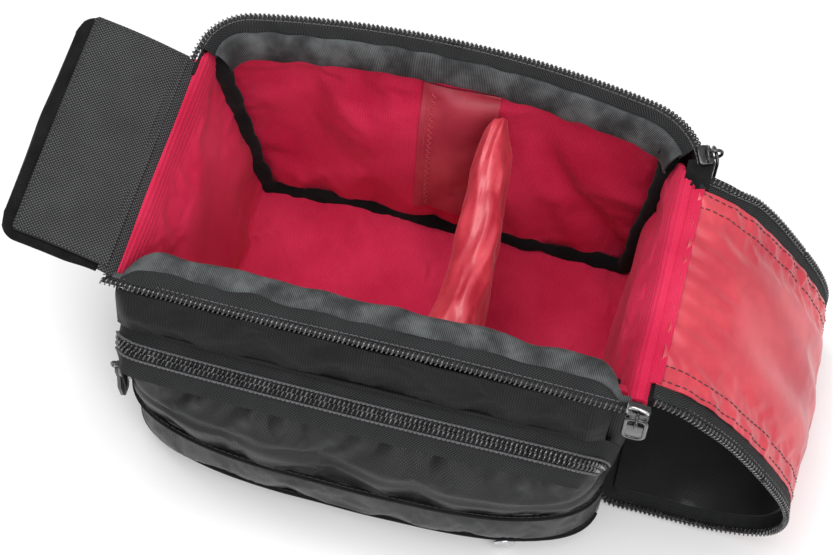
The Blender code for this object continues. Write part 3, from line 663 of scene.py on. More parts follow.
def lining_strip():
    """Brushed lining of the two end walls and the floor, with its foam behind it."""
    line = [(-115.6, 116.5), (-115.2, 119.4), (-112.9, 119.9), (-110.4, 117.4), (-108.4, 111.0),
            (-106.2, 101.0), (-98.6, 62.0), (-91.6, 20.0), (-90.6, 13.4), (-86.0, 12.2), (-45.0, 12.8),
            (0.0, 13.0), (50.0, 12.8), (93.0, 12.2), (97.6, 13.4), (98.8, 20.0), (102.8, 62.0),
            (106.6, 101.0), (108.6, 111.0), (110.8, 118.0), (114.2, 120.6), (118.0, 120.2), (118.9, 117.0)]
    profile = resample(rounded(line, 3), step=2.6)
    t = np.linspace(0, 1, 40)
    n = len(profile)
    x, z = profile[:, 0][:, None], profile[:, 1][:, None]
    rise = np.clip((z - 12) / 106, 0, 1)
    y0 = -47.0 - 12.5 * ease((rise - 0.5) / 0.42)
    y1 = 61.4 + 3.0 * rise - 9.0 * ease((np.abs(x + 1.0) - 109.0) / 4.0)
    y = y0 + (y1 - y0) * t[None, :]
    grid = sheet_grid(x, y, z)
    s = np.arange(n)[:, None] * 2.6
    normal = normals(grid) * -1
    belly = np.sin(np.pi * t)[None, :] * (ease(rise * 4) * ease((1 - rise) * 4)) * 1.6
    waviness = ripples(s, y, 3, 48.0) * 0.7 * (1 - 0.6 * ease((rise - 0.8) * 8))
    grid = grid + normal * (belly + waviness)[:, :, None]
    mask = border(grid, 1)
    high = (rise[:, 0] > 0.9).astype(float)
    mask = np.maximum(mask, high[:, None])
    grid = relax(grid, mask, pressure=0.0, grow=0.012, cap=2.2)
    grid = catmull(refine(grid, 2), np.linspace(0, 2 * n - 2, 4 * n - 3), 0)
    # fine sewn ribs that run along the top of both end walls
    zz = grid[:, :, 2]
    s = np.arange(len(grid))[:, None] * 0.65
    near_top = ease((zz - 105.0) / 4.0)
    grid = grid + normals(grid) * -1 * (near_top * 0.22 * np.sin(2 * np.pi * s / 2.6))[:, :, None]
    ob = shell("lining_strip_padded", grid, 2.4, [KNIT], sign=-1, uv_turn=True)
    finish_piece(ob, "bag", ["lining_strip", "foam_left", "foam_right", "base_foam"])


def back_top_y(x):
    """Where the back lining meets the facing band, in plan."""
    t = np.clip((x + 2.0) / 106.0, -1, 1)
    return 69.5 + 15.2 * (1 - np.abs(t) ** 4)


def lining_back():
    """Padded back wall. Its settled surface is given back for the tab that lies on it."""
    rows, cols = 30, 56
    v = np.linspace(0, 1, rows)[:, None]
    u = np.linspace(0, 1, cols)[None, :]
    z = 11.0 + (111.0 - 11.0) * v + 0 * u
    left, right = wall_left(z) - 1.0, wall_right(z) + 1.0
    x = left + (right - left) * u
    y = 62.2 + (back_top_y(x) - 62.2) * v ** 1.15
    grid = np.stack([x, y, z], 2)
    # a shallow diagonal fold that climbs from the right foot, and one dent by the left end
    span = ease((x - 38) / 18) * ease((104 - x) / 12)
    fold = np.exp(-((z - 14 - (100 - x) * 1.05) / 13.0) ** 2) * span
    dent = np.exp(-(((x + 62) / 16.0) ** 2 + ((z - 55) / 30.0) ** 2))
    swell = np.exp(-(((x + 30) / 34.0) ** 2 + ((z - 70) / 34.0) ** 2))
    under_facing = 1 - ease((z - 96.0) / 10.0)
    shape = fold * 4.6 + dent * 2.8 - swell * 2.6 + ripples(x, z, 11, 46.0) * 0.7
    grid[:, :, 1] += shape * under_facing
    mask = np.maximum(border(grid), (v > 0.9) + 0.0 * u)
    grid = relax(grid, mask, grow=0.022, cap=3.2, bend=0.6)
    settled = grid
    grid = refine(grid, 2)
    share = np.linspace(0, 1, grid.shape[1])
    height = np.linspace(0, 1, grid.shape[0])[:, None]
    # thinner at both ends and towards the rim, where the outer back lies close behind it
    ends, top = ease(np.minimum(share, 1 - share)[None, :] / 0.12), ease((height - 0.72) / 0.16)
    thick = 1.4 + 4.0 * ends * (1 - 0.9 * top)
    ob = shell("lining_back_padded", grid, thick, [KNIT], sign=1)
    finish_piece(ob, "bag", ["lining_back", "foam_back"])
    return settled


def lining_front():
    rows, cols = 26, 50
    v = np.linspace(0, 1, rows)[:, None]
    u = np.linspace(0, 1, cols)[None, :]
    z = 11.0 + (114.6 - 11.0) * v + 0 * u
    left, right = wall_left(z) + 0.5, wall_right(z) - 0.5
    x = left + (right - left) * u
    y = -45.2 - 5.0 * ease((z - 96.0) / 20.0) * ease((np.abs(u - 0.5) - 0.36) / 0.12)
    y = y + np.sin(np.pi * v) * 1.0 + ripples(x, z, 5, 50.0) * 0.5 - 1.6 * ease((z - 102.0) / 10.0)
    grid = np.stack([x, y, z], 2)
    grid = relax(grid, border(grid, 1), grow=0.012, cap=2.0, bend=0.6)
    grid = refine(grid, 2)
    ob = shell("lining_front_padded", grid, 7.0, [KNIT], sign=-1, edge=0.5)
    finish_piece(ob, "bag", ["lining_front", "foam_front"])


def seam_binding(name, side_y, node, hook):
    """Fuzzy black tape folded over the lining's seams."""
    lean = 1 if side_y > 0 else -1
    corners = [(wall_left(111) + 1.5, side_y + 5.5 * lean, 111.5),
               (wall_left(104) + 2.6, side_y + 1.0 * lean, 103.0),
               (wall_left(60) + 3.0, side_y, 60.0),
               (wall_left(14) + 3.2, side_y - 0.6 * lean, 15.0),
               (wall_left(14) + 10.0, side_y + 0.8 * lean, 13.8),
               (0.0, side_y + 1.2 * lean, 13.8),
               (wall_right(14) - 9.0, side_y + 0.8 * lean, 13.8),
               (wall_right(14) - 3.0, side_y - 0.8 * lean, 15.0),
               (wall_right(60) - 3.0, side_y, 60.0),
               (wall_right(96) - 2.6, side_y + 0.6 * lean, 96.0)]
    if hook:
        corners += [(wall_right(108) - 3.0, side_y + 6.0, 109.5),
                    (wall_right(108) - 8.0, side_y + 9.5, 110.6)]
    path = resample(rounded(corners, 2), step=1.6)
    s = np.arange(len(path)) * 1.6
    path = path + np.stack([ripples(s, 0, 21, 34.0) * 0.6, ripples(s, 9, 22, 30.0) * 0.5,
                            ripples(s, 5, 23, 38.0) * 0.6], 1)
    upright = ease((path[:, 2] - 18.0) / 10.0)
    knot = np.exp(-((path[:, 2] - 15.0) / 3.0) ** 2) * (np.abs(path[:, 0]) > 80.0)
    radius = (3.3 + 1.5 * upright + 1.0 * knot
              + ripples(s, 3, 24, 24.0) * 0.45 + ripples(s, 4, 25, 5.0) * 0.2)
    up = np.stack([0 * s, -np.full(len(s), float(lean)) * 0.75, 0.66 * (1 - upright) + 0.05], 1)
    ob = tube(name, path, radius, WEBBING, up=up, sides=14, flat=0.52)
    finish_piece(ob, "bag", [node])


# ---------------------------------------------------------------- rim

def band(name, lines, thick, mat, nodes, sign, seed, wavy=0.0, turn=False):
    """Strip of tape lofted through several lines of equal point count."""
    grid = np.stack([np.asarray(l, float) for l in lines], 0)
    n = grid.shape[1]
    s = np.arange(n)[None, :] * 2.0
    grid = catmull(grid, np.linspace(0, len(grid) - 1, 4 * len(grid)), 0)
    across = np.linspace(0, 12, len(grid))[:, None]
    grid = grid + normals(grid) * sign * (ripples(s, across, seed, 26.0) * wavy)[:, :, None]
    ob = shell(name, grid, thick, [mat], sign=sign, uv_turn=turn)
    finish_piece(ob, "bag", nodes)


def coil_front_line():
    x = np.linspace(-118.0, 119.0, 120)
    y = FRONT_COIL_Y + 0.7 - 1.4 * (x + 118) / 237 + 0.35 * np.sin(x / 31.0)
    z = RIM_Z + 0.5 * np.sin(x / 42.0 + 1.0)
    return np.stack([x, y, z], 1)


def rim_front():
    line = coil_front_line()
    x = np.linspace(-116.5, 112.0, 114)
    coil_y = np.interp(x, line[:, 0], line[:, 1])
    taper = np.sqrt(np.clip(1 - np.clip((np.abs(x + 1.5) - 95.0) / 13.5, 0, 1) ** 2, 0.04, 1))
    wave = ripples(x, 0, 31, 40.0) * 0.9
    edge = ripples(x, 7, 32, 30.0) * 0.8
    depth = 20.2 * taper
    def at(f, dz, extra=0.0):
        return np.stack([x, coil_y + 1.2 + depth * f + extra, RIM_Z + dz + 0 * x], 1)
    middle = 0.44 + 0.03 * edge
    tape = [at(0.0, 0.5), at(0.18, 0.6), at(middle * 0.8, 0.4), at(middle + 0.07, -0.1)]
    band("zip_tape_front_band", tape, 0.7, TAPE, ["zip_tape_front"], 1, 41, 0.25)
    low_end = 0.4 + 0.6 * ease((x + 92.0) / 40.0)
    facing = [at(middle - 0.02, 0.3), at(middle + 0.06, 1.1 * low_end), at(0.72, 1.2 * low_end, wave * 0.4),
              at(0.92, 0.0, wave * 0.8), at(1.0, -2.4, wave), at(0.95, -4.6, wave)]
    band("facing_front_band", facing, 0.8, GROSGRAIN, ["facing_front"], 1, 42, 0.4)
    pieces = zip_edge("zip_teeth_front", line, tape_side=-1.0)
    finish_piece(pieces, "bag", ["zip_coil_front"])


def rim_back():
    def at(offset, dz, end=30.0):
        p = resample(back_rim(offset, right_end=end), count=180)
        return lift(p, BACK_COIL_Z + dz)
    s = np.linspace(0, 330, 180)
    wave = (ripples(s, 0, 51, 44.0) * 1.0)[:, None]
    tape = [at(0.9, 0.6), at(3.0, 0.4), at(6.4, -2.4), at(9.0, -4.6)]
    band("zip_tape_back_band", tape, 0.7, TAPE, ["zip_tape_back"], -1, 52, 0.25)
    high = wave * np.array([0.0, 0.0, 1.0])
    facing = [at(7.4, -2.2), at(8.8, -1.8) + high * 0.3, at(11.6, -4.6) + high * 0.4,
              at(13.8, -8.8) + high * 0.6, at(14.9, -13.0) + high * 0.7, at(14.0, -14.8) + high * 0.6]
    band("facing_back_band", facing, 0.8, GROSGRAIN, ["facing_back"], -1, 53, 0.4)
    left = [(-116.4, -56.0, 112.0), (-116.4, 40.0, 112.0), (-116.6, 52.0, 115.0), (-116.4, 57.5, 119.6)]
    rim = lift(back_rim(0.0), BACK_COIL_Z)
    path = np.vstack([left, rim[3:]])
    path = resample(rounded(path, 2), step=2.0)
    pieces = zip_edge("zip_teeth_back", path, tape_side=1.0)
    finish_piece(pieces, "bag", ["zip_coil_back"])


# ---------------------------------------------------------------- outside of the body

def body_plan(z, count=150):
    """Left end, front and right end of the outer shell in plan, at one height."""
    f = (z - 1.9) / 115.1
    left, right = -101.0 - 12.8 * f, 107.0 + 10.0 * f
    pts = [(left, 47.8), (left, -54.0), (left + 1.5, -59.4), (left + 8.0, -61.6),
           (right - 8.0, -61.6), (right - 1.5, -59.4), (right, -54.0), (right, 47.8)]
    return resample(rounded(pts, 2), count=count)


def outer_shell():
    levels = np.linspace(1.9, 117.2, 26)
    grid = np.stack([lift(body_plan(z), z) for z in levels], 0)
    s = np.linspace(0, 430, grid.shape[1])[None, :]
    height = (levels / 117.0)[:, None]
    puff = np.sin(np.pi * height) * (1.8 + ripples(s, height * 100, 61, 60.0) * 0.7)
    grid = grid + normals(grid) * puff[:, :, None]
    ob = shell("outer_wrap", grid, 1.2, [PLAIN], sign=1)
    finish_piece(ob, "bag", ["outer_left", "outer_right", "outer_front"])

    count = 120
    foot = np.vstack([[(-101.0, 47.5)], arc(-83.0, 54.0, 18.0, 180, 102, 12),
                      arc(89.0, 54.0, 18.0, 78, 0, 12), [(107.0, 47.5)]])
    head = np.vstack([[(-113.8, 47.5)], back_rim(1.0, right_end=14.0), [(117.0, 47.5)]])
    foot, head = resample(foot, count=count), resample(head, count=count)
    rows = []
    for f in np.linspace(0, 1, 26):
        plan = foot + (head - foot) * f ** 0.9
        rows.append(lift(plan, 1.9 + 118.6 * f))
    grid = np.stack(rows, 0)
    f = np.linspace(0, 1, 26)[:, None]
    s = np.linspace(0, 330, count)[None, :]
    puff = np.sin(np.pi * f) * (1.5 + ripples(s, f * 110, 62, 60.0) * 0.8)
    grid = grid - normals(grid) * puff[:, :, None]
    grid = relax(grid, border(grid, 1), pressure=0.0, grow=0.01, cap=1.0)
    ob = shell("outer_back_panel", refine(grid, 2), 1.2, [PLAIN], sign=-1)
    finish_piece(ob, "bag", ["outer_back"])
    height = CUTS["outer_back_panel"][1] * MM
    for side, x0, x1 in (("left", -101.0, -113.8), ("right", 107.0, 117.0)):
        t = np.linspace(0, 1, 50)
        out = -1.6 if side == "left" else 1.6
        x = x0 + (x1 - x0) * t + out * np.sin(np.pi * t) + out * 0.6
        path = np.stack([x, 47.6 + 0 * t, 2.0 + 114.0 * t], 1)
        ob = tube(f"corner_piping_{side}", path, 1.3, WEBBING, up=(0, 1, 0), sides=10)
        finish_piece(ob, "bag")


def front_panels():
    rows, cols = 14, 70
    v = np.linspace(0, 1, rows)[:, None]
    u = np.linspace(0, 1, cols)[None, :]
    x = -110.5 + (104.5 + 110.5) * u + 0 * v
    end = ease((104.5 - x) / 7.0) * ease((x + 110.5) / 5.0)
    z = 117.6 - 20.0 * v + 0 * u
    y = (-64.8 - 6.4 * v ** 0.8 - end * (np.sin(np.pi * v) * 2.4)
         + ripples(x, z, 71, 40.0) * 0.5 + (1 - end) * 2.0)
    grid = relax(np.stack([x, y, z], 2), border(x[..., None], 1), pressure=0.6, grow=0.012, cap=2.0)
    ob = shell("upper_front_puff", refine(grid, 2), 1.6, [PLAIN], sign=1)
    finish_piece(ob, "bag", ["upper_front_panel"])
    lip = [(-111.0, -69.5, 97.0), (-104.0, -72.6, 97.6), (0.0, -73.6, 97.4), (98.0, -72.6, 97.6),
           (105.0, -69.0, 97.0)]
    lip = resample(rounded(lip, 3), step=2.0)
    s = np.arange(len(lip)) * 2.0
    lip[:, 2] += ripples(s, 0, 75, 36.0) * 0.35
    ob = tube("upper_front_lip", lip, 1.1, PLAIN, sides=10)
    finish_piece(ob, "bag")


POCKET_ROWS = ((2.0, 27.5, 2.8), (7.0, 31.0, 2.8), (12.5, 33.0, 2.8), (20.0, 36.6, 2.8), (32.0, 38.0, 2.8),
               (44.0, 36.8, 2.8), (49.0, 35.6, 2.9), (56.0, 36.2, 3.0), (64.0, 33.6, 3.3), (71.0, 28.6, 3.7),
               (77.0, 23.4, 4.2), (80.5, 20.2, 4.5))


def pocket_surface(z, count=121, extra=0.0):
    levels = [r[0] for r in POCKET_ROWS]
    depth = float(np.interp(z, levels, [r[1] for r in POCKET_ROWS]))
    power = float(np.interp(z, levels, [r[2] for r in POCKET_ROWS]))
    return pocket_line(depth + extra, power, POCKET_HALF + extra * 0.8, count)


def pocket():
    count = 150
    rows = [lift(pocket_line(d, p, POCKET_HALF, count), z) for z, d, p in POCKET_ROWS]
    grid = np.stack(rows, 0)
    grid = catmull(grid, np.linspace(0, len(rows) - 1, 44), 0)
    z = grid[:, :, 2]
    s = np.linspace(0, 290, count)[None, :]
    # puckers under the zip tape, a shallow quilting seam, and soft rolls between the seams
    gather = 0.9 * np.sin(s / 3.3 + 1.6 * np.sin(s / 19.0)) + ripples(s, z, 81, 20.0) * 1.1
    pucker = np.exp(-((z - 74.0) / 4.5) ** 2) * gather
    seam = -1.6 * np.exp(-((z - 60.0 - 2.0 * np.sin(s / 46.0)) / 1.9) ** 2)
    soft = ripples(s, z, 82, 52.0) * 0.9
    grid = grid + normals(grid) * ((pucker + seam + soft) * ease((z - 2) / 10.0))[:, :, None]
    mask = border(grid, 1)
    for level in (14.0, 45.0):
        mask = np.maximum(mask, np.exp(-((z - level) / 1.5) ** 2) > 0.5)
    grid = relax(grid, mask, pressure=0.5, grow=0.014, cap=2.2, bend=0.4)
    ob = shell("pocket_front_panel", refine(grid, 2), 3.2, [QUILT], sign=1)
    finish_piece(ob, "bag", ["pocket_panel"])

    for name, level, node in (("pocket_piping_upper", 45.0, "piping_upper"),
                              ("pocket_piping_lower", 14.0, "piping_lower")):
        path = lift(pocket_surface(level, 200, 0.9), level)[6:-6]
        s = np.arange(len(path)) * 1.6
        path[:, 2] += ripples(s, 0, 91, 60.0) * 0.4
        ob = tube(name, path, 1.45, WEBBING, sides=12)
        row = stitches(f"{name}_stitches", path + np.array([0, -0.4, 2.2]), THREAD_BLACK, 2.4, 0.8, 0.22)
        finish_piece([ob, row], "bag", [node])


def pocket_zip():
    coil = [(SIDE_RUN_X, SIDE_RUN_Y, 44.0), (SIDE_RUN_X, SIDE_RUN_Y, 76.0), (SIDE_RUN_X + 1.5, -73.0, 85.0),
            (SIDE_RUN_X + 6.0, -78.0, POCKET_ZIP_Z), (SIDE_RUN_X + 14.0, POCKET_ZIP_Y, POCKET_ZIP_Z),
            (0.0, POCKET_ZIP_Y - 1.2, POCKET_ZIP_Z), (88.0, POCKET_ZIP_Y - 0.4, POCKET_ZIP_Z),
            (98.0, -79.4, 87.6), (104.8, -76.5, 82.0), (106.6, -73.0, 74.0), (106.8, -71.0, 68.0)]
    path = resample(rounded(coil, 3), step=2.0)
    centre = np.array([POCKET_MID_X, -30.0, 60.0])
    out = path - centre
    out[:, 0] *= 0.25
    side_run = ease((-104.0 - path[:, 0]) / 8.0)[:, None]
    out = out / np.linalg.norm(out, axis=1, keepdims=True)
    up = out * (1 - side_run) + np.array([-1.0, -0.2, 0.0]) * side_run
    up[:, 2] += 0.55 * (1 - side_run[:, 0])
    _, side, lift_dir = frames_along(path, up)
    wire = dict(half_width=1.25, half_height=1.1, wire=0.5)
    rows = [coil_data(path + side * 1.15, up, turn=0.0, **wire),
            coil_data(path - side * 1.15, up, turn=math.pi, **wire)]
    ob = merged("pocket_zip_teeth", rows, [COIL])
    pieces = [ob]
    for k, shift in enumerate((3.5, -3.5)):
        pieces.append(stitches(f"pocket_zip_stitches_{k}", path + side * shift + lift_dir * 0.7, THREAD_GREY,
                               length=1.75, gap=0.35, radius=0.5, up=lift_dir))
    finish_piece(pieces, "bag", ["pocket_zip_coil"])
    # tapes on both sides of the coil
    for label, sign_side in (("upper", 1.0), ("lower", -1.0)):
        lines = []
        for f, drop in ((0.6, 0.0), (4.0, -0.1), (8.0, -0.6), (12.0, -1.2)):
            lines.append(path + side * sign_side * f + lift_dir * drop)
        flip = -1 if sign_side > 0 else 1
        band(f"pocket_tape_{label}_band", [l[3:-3] for l in lines], 0.7, TAPE, [f"pocket_tape_{label}"],
             flip, 95, 0.2)


# ---------------------------------------------------------------- hard parts

def prism(outline, z0, z1, bevel=0.3):
    """Extruded outline with softened edges, as (verts, faces, uv)."""
    bm = bmesh.new()
    low = [bm.verts.new((u, v, z0)) for u, v in outline]
    face = bm.faces.new(low)
    top = bmesh.ops.extrude_face_region(bm, geom=[face])
    moved = [g for g in top["geom"] if isinstance(g, bmesh.types.BMVert)]
    bmesh.ops.translate(bm, verts=moved, vec=(0, 0, z1 - z0))
    bmesh.ops.recalc_face_normals(bm, faces=bm.faces)
    edges = [e for e in bm.edges if e.calc_face_angle(0) > 0.5]
    bmesh.ops.bevel(bm, geom=edges, offset=bevel, segments=2, affect="EDGES", profile=0.6)
    bm.verts.index_update()
    verts = np.array([v.co[:] for v in bm.verts])
    faces = [[v.index for v in f.verts] for f in bm.faces]
    bm.free()
    return verts, faces, verts[:, :2]


def loop_outline(width, length, corner, n=6):
    """Rounded rectangle that hangs down from y = 0."""
    w, r = width / 2, corner
    pts = np.vstack([arc(w - r, -r, r, 90, 0, n), arc(w - r, -length + r, r, 0, -90, n),
                     arc(-w + r, -length + r, r, -90, -180, n), arc(-w + r, -r, r, 180, 90, n)])
    return pts


def placed(part, place):
    verts, faces, uv = part
    m = np.array(place)
    return verts @ m[:3, :3].T + m[:3, 3], faces, uv


def zip_slider(name, centre, frame_axes, out, pivot, mat, bodies, nodes, long=False, pull_mat=None,
               bridge_mat=None):
    """Slider with two wings, a post, a bridge, and its pull."""
    rotation = Matrix(frame_axes).transposed()
    place = np.eye(4)
    place[:3, :3] = np.array(rotation)
    place[:3, 3] = centre
    wing = [(-5.0, -2.4), (-4.0, -3.4), (1.0, -3.6), (4.6, -2.9), (5.2, 0.0), (4.6, 2.6), (1.0, 3.0),
            (-4.0, 3.0), (-5.0, 2.2)]
    parts = [prism(wing, 1.9, 3.0, 0.35), prism(wing, -3.0, -1.9, 0.35),
             prism([(-4.4, -3.4), (3.8, -3.4), (3.8, -2.4), (-4.4, -2.4)], -2.2, 2.2, 0.3)]
    bridge = rounded([(-3.6, -0.6, 2.9), (-3.4, -0.6, 4.6), (0.0, -1.0, 5.2), (3.2, -1.2, 4.4),
                      (3.6, -1.2, 2.9)], 3)
    bow = placed(tube_data(resample(bridge, step=0.5), 1.1, (0, 1, 0), 10, 0.7), place)
    parts = [placed(p, place) for p in parts]
    hook = []
    for t in np.radians(np.linspace(172, -125, 22)):
        around = math.cos(t) * np.array(out) + math.sin(t) * np.array([0, 0, 1.0])
        hook.append(np.array(pivot) + 3.0 * around)
    parts.append(tube_data(np.array(hook), 0.75, np.cross(out, (0, 0, 1)), 8))
    ob = merged(name, parts, [mat])
    bow = merged(f"{name}_bridge", [bow], [bridge_mat or mat])
    finish_piece([ob, bow], bodies[0], [nodes[0]])
    # the pull's own axes: across, up, and out from the bag
    across = np.cross((0, 0, 1.0), out)
    swing = np.eye(4)
    swing[:3, 0], swing[:3, 1], swing[:3, 2], swing[:3, 3] = across, (0, 0, 1.0), out, pivot
    if long:
        outline = [(-2.0, 1.4), (2.0, 1.4), (2.9, -2.0), (2.5, -8.0), (4.4, -15.0), (4.0, -24.0),
                   (2.6, -27.0), (-2.6, -27.0), (-4.0, -24.0), (-4.4, -15.0), (-2.5, -8.0), (-2.9, -2.0)]
        body = prism(outline, -1.0, 1.0, 0.6)
        ridges = [prism([(-3.0, y), (3.0, y), (3.0, y - 1.1), (-3.0, y - 1.1)], 0.7, 1.5, 0.3)
                  for y in (-15.5, -18, -20.5, -23)]
        pull_parts = [body] + ridges
    else:
        ring = loop_outline(8.6, 17.6, 3.2)
        ring = np.vstack([ring, ring[:1]])
        line = resample(np.column_stack([ring, 0 * ring[:, 0]]), step=0.7)[:-1] + np.array([0, 1.0, 0])
        pull_parts = [tube_data(line, 1.05, (0, 0, 1), 10, 0.75, closed=True),
                      prism([(-3.6, -5.0), (3.6, -5.0), (3.6, -15.4), (-3.6, -15.4)], -0.35, 0.35, 0.2)]
    pull_name = name.replace("slider", "pull") + "_tab"
    ob = merged(pull_name, [placed(p, swing) for p in pull_parts], [pull_mat or mat])
    finish_piece(ob, bodies[1], [nodes[1]])


def sliders():
    x, y, z = 116.0, FRONT_COIL_Y - 0.8, RIM_Z
    zip_slider("front_slider_body", (x, y, z), ((1, 0, 0), (0, 1, 0), (0, 0, 1)), (0, -1.0, 0),
               (x, y - 4.8, z + 2.3), BLACK_METAL, ("front_slider", "front_pull"),
               ("front_slider", "front_pull"), bridge_mat=STEEL)
    cx, cy, radius = RIGHT_ARC
    a = math.radians(22.0)
    out = np.array([math.cos(a), math.sin(a), 0.0])
    along = (-math.sin(a), math.cos(a), 0.0)
    spot = np.array([cx, cy, BACK_COIL_Z]) + out * (radius + 0.8)
    zip_slider("back_slider_body", tuple(spot), (along, tuple(-out), (0, 0, 1)), out,
               tuple(spot + out * 4.8 + np.array([0, 0, 2.4])), BLACK_METAL, ("back_slider", "back_pull"),
               ("back_slider", "back_pull"))
    spot = (SIDE_RUN_X, SIDE_RUN_Y - 0.6, 50.0)
    zip_slider("pocket_slider_body", spot, ((0, 0, 1), (0, 1, 0), (-1, 0, 0)), (-1.0, 0, 0),
               (spot[0] - 4.4, spot[1], spot[2]), BLACK_METAL, ("pocket_slider", "pocket_pull"),
               ("pocket_slider", "pocket_pull"), long=True, pull_mat=MOULDED)


def stud():
    """Small domed metal stud with a rolled rim."""
    profile = [(0.0, 1.9), (2.2, 1.7), (3.4, 1.2), (3.9, 0.9), (4.3, 1.1), (5.0, 1.0), (5.3, 0.4),
               (5.0, -0.5), (0.0, -0.8)]
    profile = rounded(profile, 2)
    n = 36
    a = np.linspace(0, 2 * np.pi, n, endpoint=False)
    rings = [np.stack([r * np.cos(a), r * np.sin(a), np.full(n, h)], 1) for r, h in profile[1:-1]]
    verts = np.vstack([[(0, 0, profile[0][1])], *rings, [(0, 0, profile[-1][1])]])
    faces = [[0, 1 + j, 1 + (j + 1) % n] for j in range(n)]
    for i in range(len(rings) - 1):
        for j in range(n):
            p, q = 1 + i * n, 1 + (i + 1) * n
            faces.append([p + j, q + j, q + (j + 1) % n, p + (j + 1) % n])
    last, base = len(verts) - 1, 1 + (len(rings) - 1) * n
    faces += [[last, base + (j + 1) % n, base + j] for j in range(n)]
    turn = Matrix.Rotation(math.radians(17), 4, "Z") @ Matrix.Rotation(math.radians(97), 4, "X")
    turn = Matrix.Translation((71.0, -92.4, 7.8)) @ turn
    ob = merged("stud_cap", [placed((verts, faces, verts[:, :2]), turn)], [STEEL])
    finish_piece(ob, "bag", ["snap_stud"])


def strap_rings():
    for side, wall_x, lean in (("left", -109.3, -0.11), ("right", 113.6, 0.087)):
        sign = -1.0 if side == "left" else 1.0
        near = wall_x + sign * 0.9
        x, z = near + sign * 3.6, 67.8
        low = arc(0.0, z - 6.0, 14.0, 180.0, 360.0, 24)
        loop = np.vstack([[(x, -14.0, z), (x, -14.0, z - 3.0)], [(x, a, b) for a, b in low[1:-1]],
                          [(x, 14.0, z - 3.0), (x, 14.0, z)]])
        loop = resample(rounded(loop, 2), step=1.0)
        bar = resample([(x, 14.0, z), (x, -14.0, z)], step=1.0)
        wires = [tube_data(line, D_RING_WIRE, (1, 0, 0), 12) for line in (loop, bar)]
        ring = merged(f"d_ring_{side}_wire", wires, [STEEL])
        finish_piece(ring, f"d_ring_{side}", [f"d_ring_{side}"])
        # one strap end: up the wall, folded over the ring's bar and back up
        line = [(near + lean * 30 + sign * 0.3, 100.0), (near + sign * 0.5 + lean * 4, 72.0),
                (x - sign * 2.0, z + 1.6), (x, z - 2.4), (x + sign * 2.2, z), (x + sign * 1.8, z + 5.0),
                (near + lean * 30 + sign * 3.0, 99.0)]
        line = resample(rounded(line, 3), step=1.6)
        y = np.linspace(-12.5, 12.5, 14)
        grid = sheet_grid(line[:, :1], y[None], line[:, 1:])
        ob = shell(f"ring_tab_{side}_strap", grid, 1.4, [STRAP], sign=int(-sign))
        finish_piece(ob, "bag", [f"ring_tab_{side}"])
        for k, (za, zb) in enumerate(((78.0, 96.0), (96.0, 78.0))):
            face = near + sign * 3.9
            p = np.array([(face + lean * (za - 72), -9.5, za), (face + lean * (zb - 72), 9.5, zb)])
            ob = stitches(f"ring_tab_{side}_cross_{k}", p, THREAD_GREY, 2.2, 0.8, 0.26, up=(sign, 0, 0))
            finish_piece(ob, "bag")


# ---------------------------------------------------------------- divider

def puffed(name, verts, faces, mat, voxel, pressure, cap):
    """Closed form blown up as cloth after a remesh, as a stuffed pad settles in its cover."""
    ob = make_object(name, verts, faces, [mat])
    mod = ob.modifiers.new("remesh", "REMESH")
    mod.mode, mod.voxel_size, mod.use_smooth_shade = "VOXEL", voxel * MM, True
    bake(ob)
    start = np.zeros(len(ob.data.vertices) * 3)
    ob.data.vertices.foreach_get("co", start)
    cloth = ob.modifiers.new("cloth", "CLOTH")
    cloth.settings.quality = 5
    cloth.settings.mass = 0.2
    cloth.settings.shrink_min = -0.03
    cloth.settings.use_pressure = True
    cloth.settings.uniform_pressure_force = pressure
    cloth.settings.effector_weights.gravity = 0.0
    cloth.point_cache.frame_start, cloth.point_cache.frame_end = 1, 20
    for f in range(1, 21):
        bpy.context.scene.frame_set(f)
    bake(ob)
    end = np.zeros(len(start))
    ob.data.vertices.foreach_get("co", end)
    move = (end - start).reshape(-1, 3)
    size = np.linalg.norm(move, axis=1, keepdims=True)
    move *= np.minimum(1.0, cap * MM / (size + 1e-9))
    ob.data.vertices.foreach_set("co", (start.reshape(-1, 3) + move).ravel())
    bpy.context.scene.frame_set(1)
    sub = ob.modifiers.new("smooth", "SUBSURF")
    sub.levels = sub.render_levels = 1
    bake(ob)
    ob.data.polygons.foreach_set("use_smooth", [True] * len(ob.data.polygons))
    return ob


def bake(ob):
    """Replaces an object's mesh by what its modifiers make of it."""
    dg = bpy.context.evaluated_depsgraph_get()
    mesh = bpy.data.meshes.new_from_object(ob.evaluated_get(dg))
    ob.modifiers.clear()
    ob.data = mesh


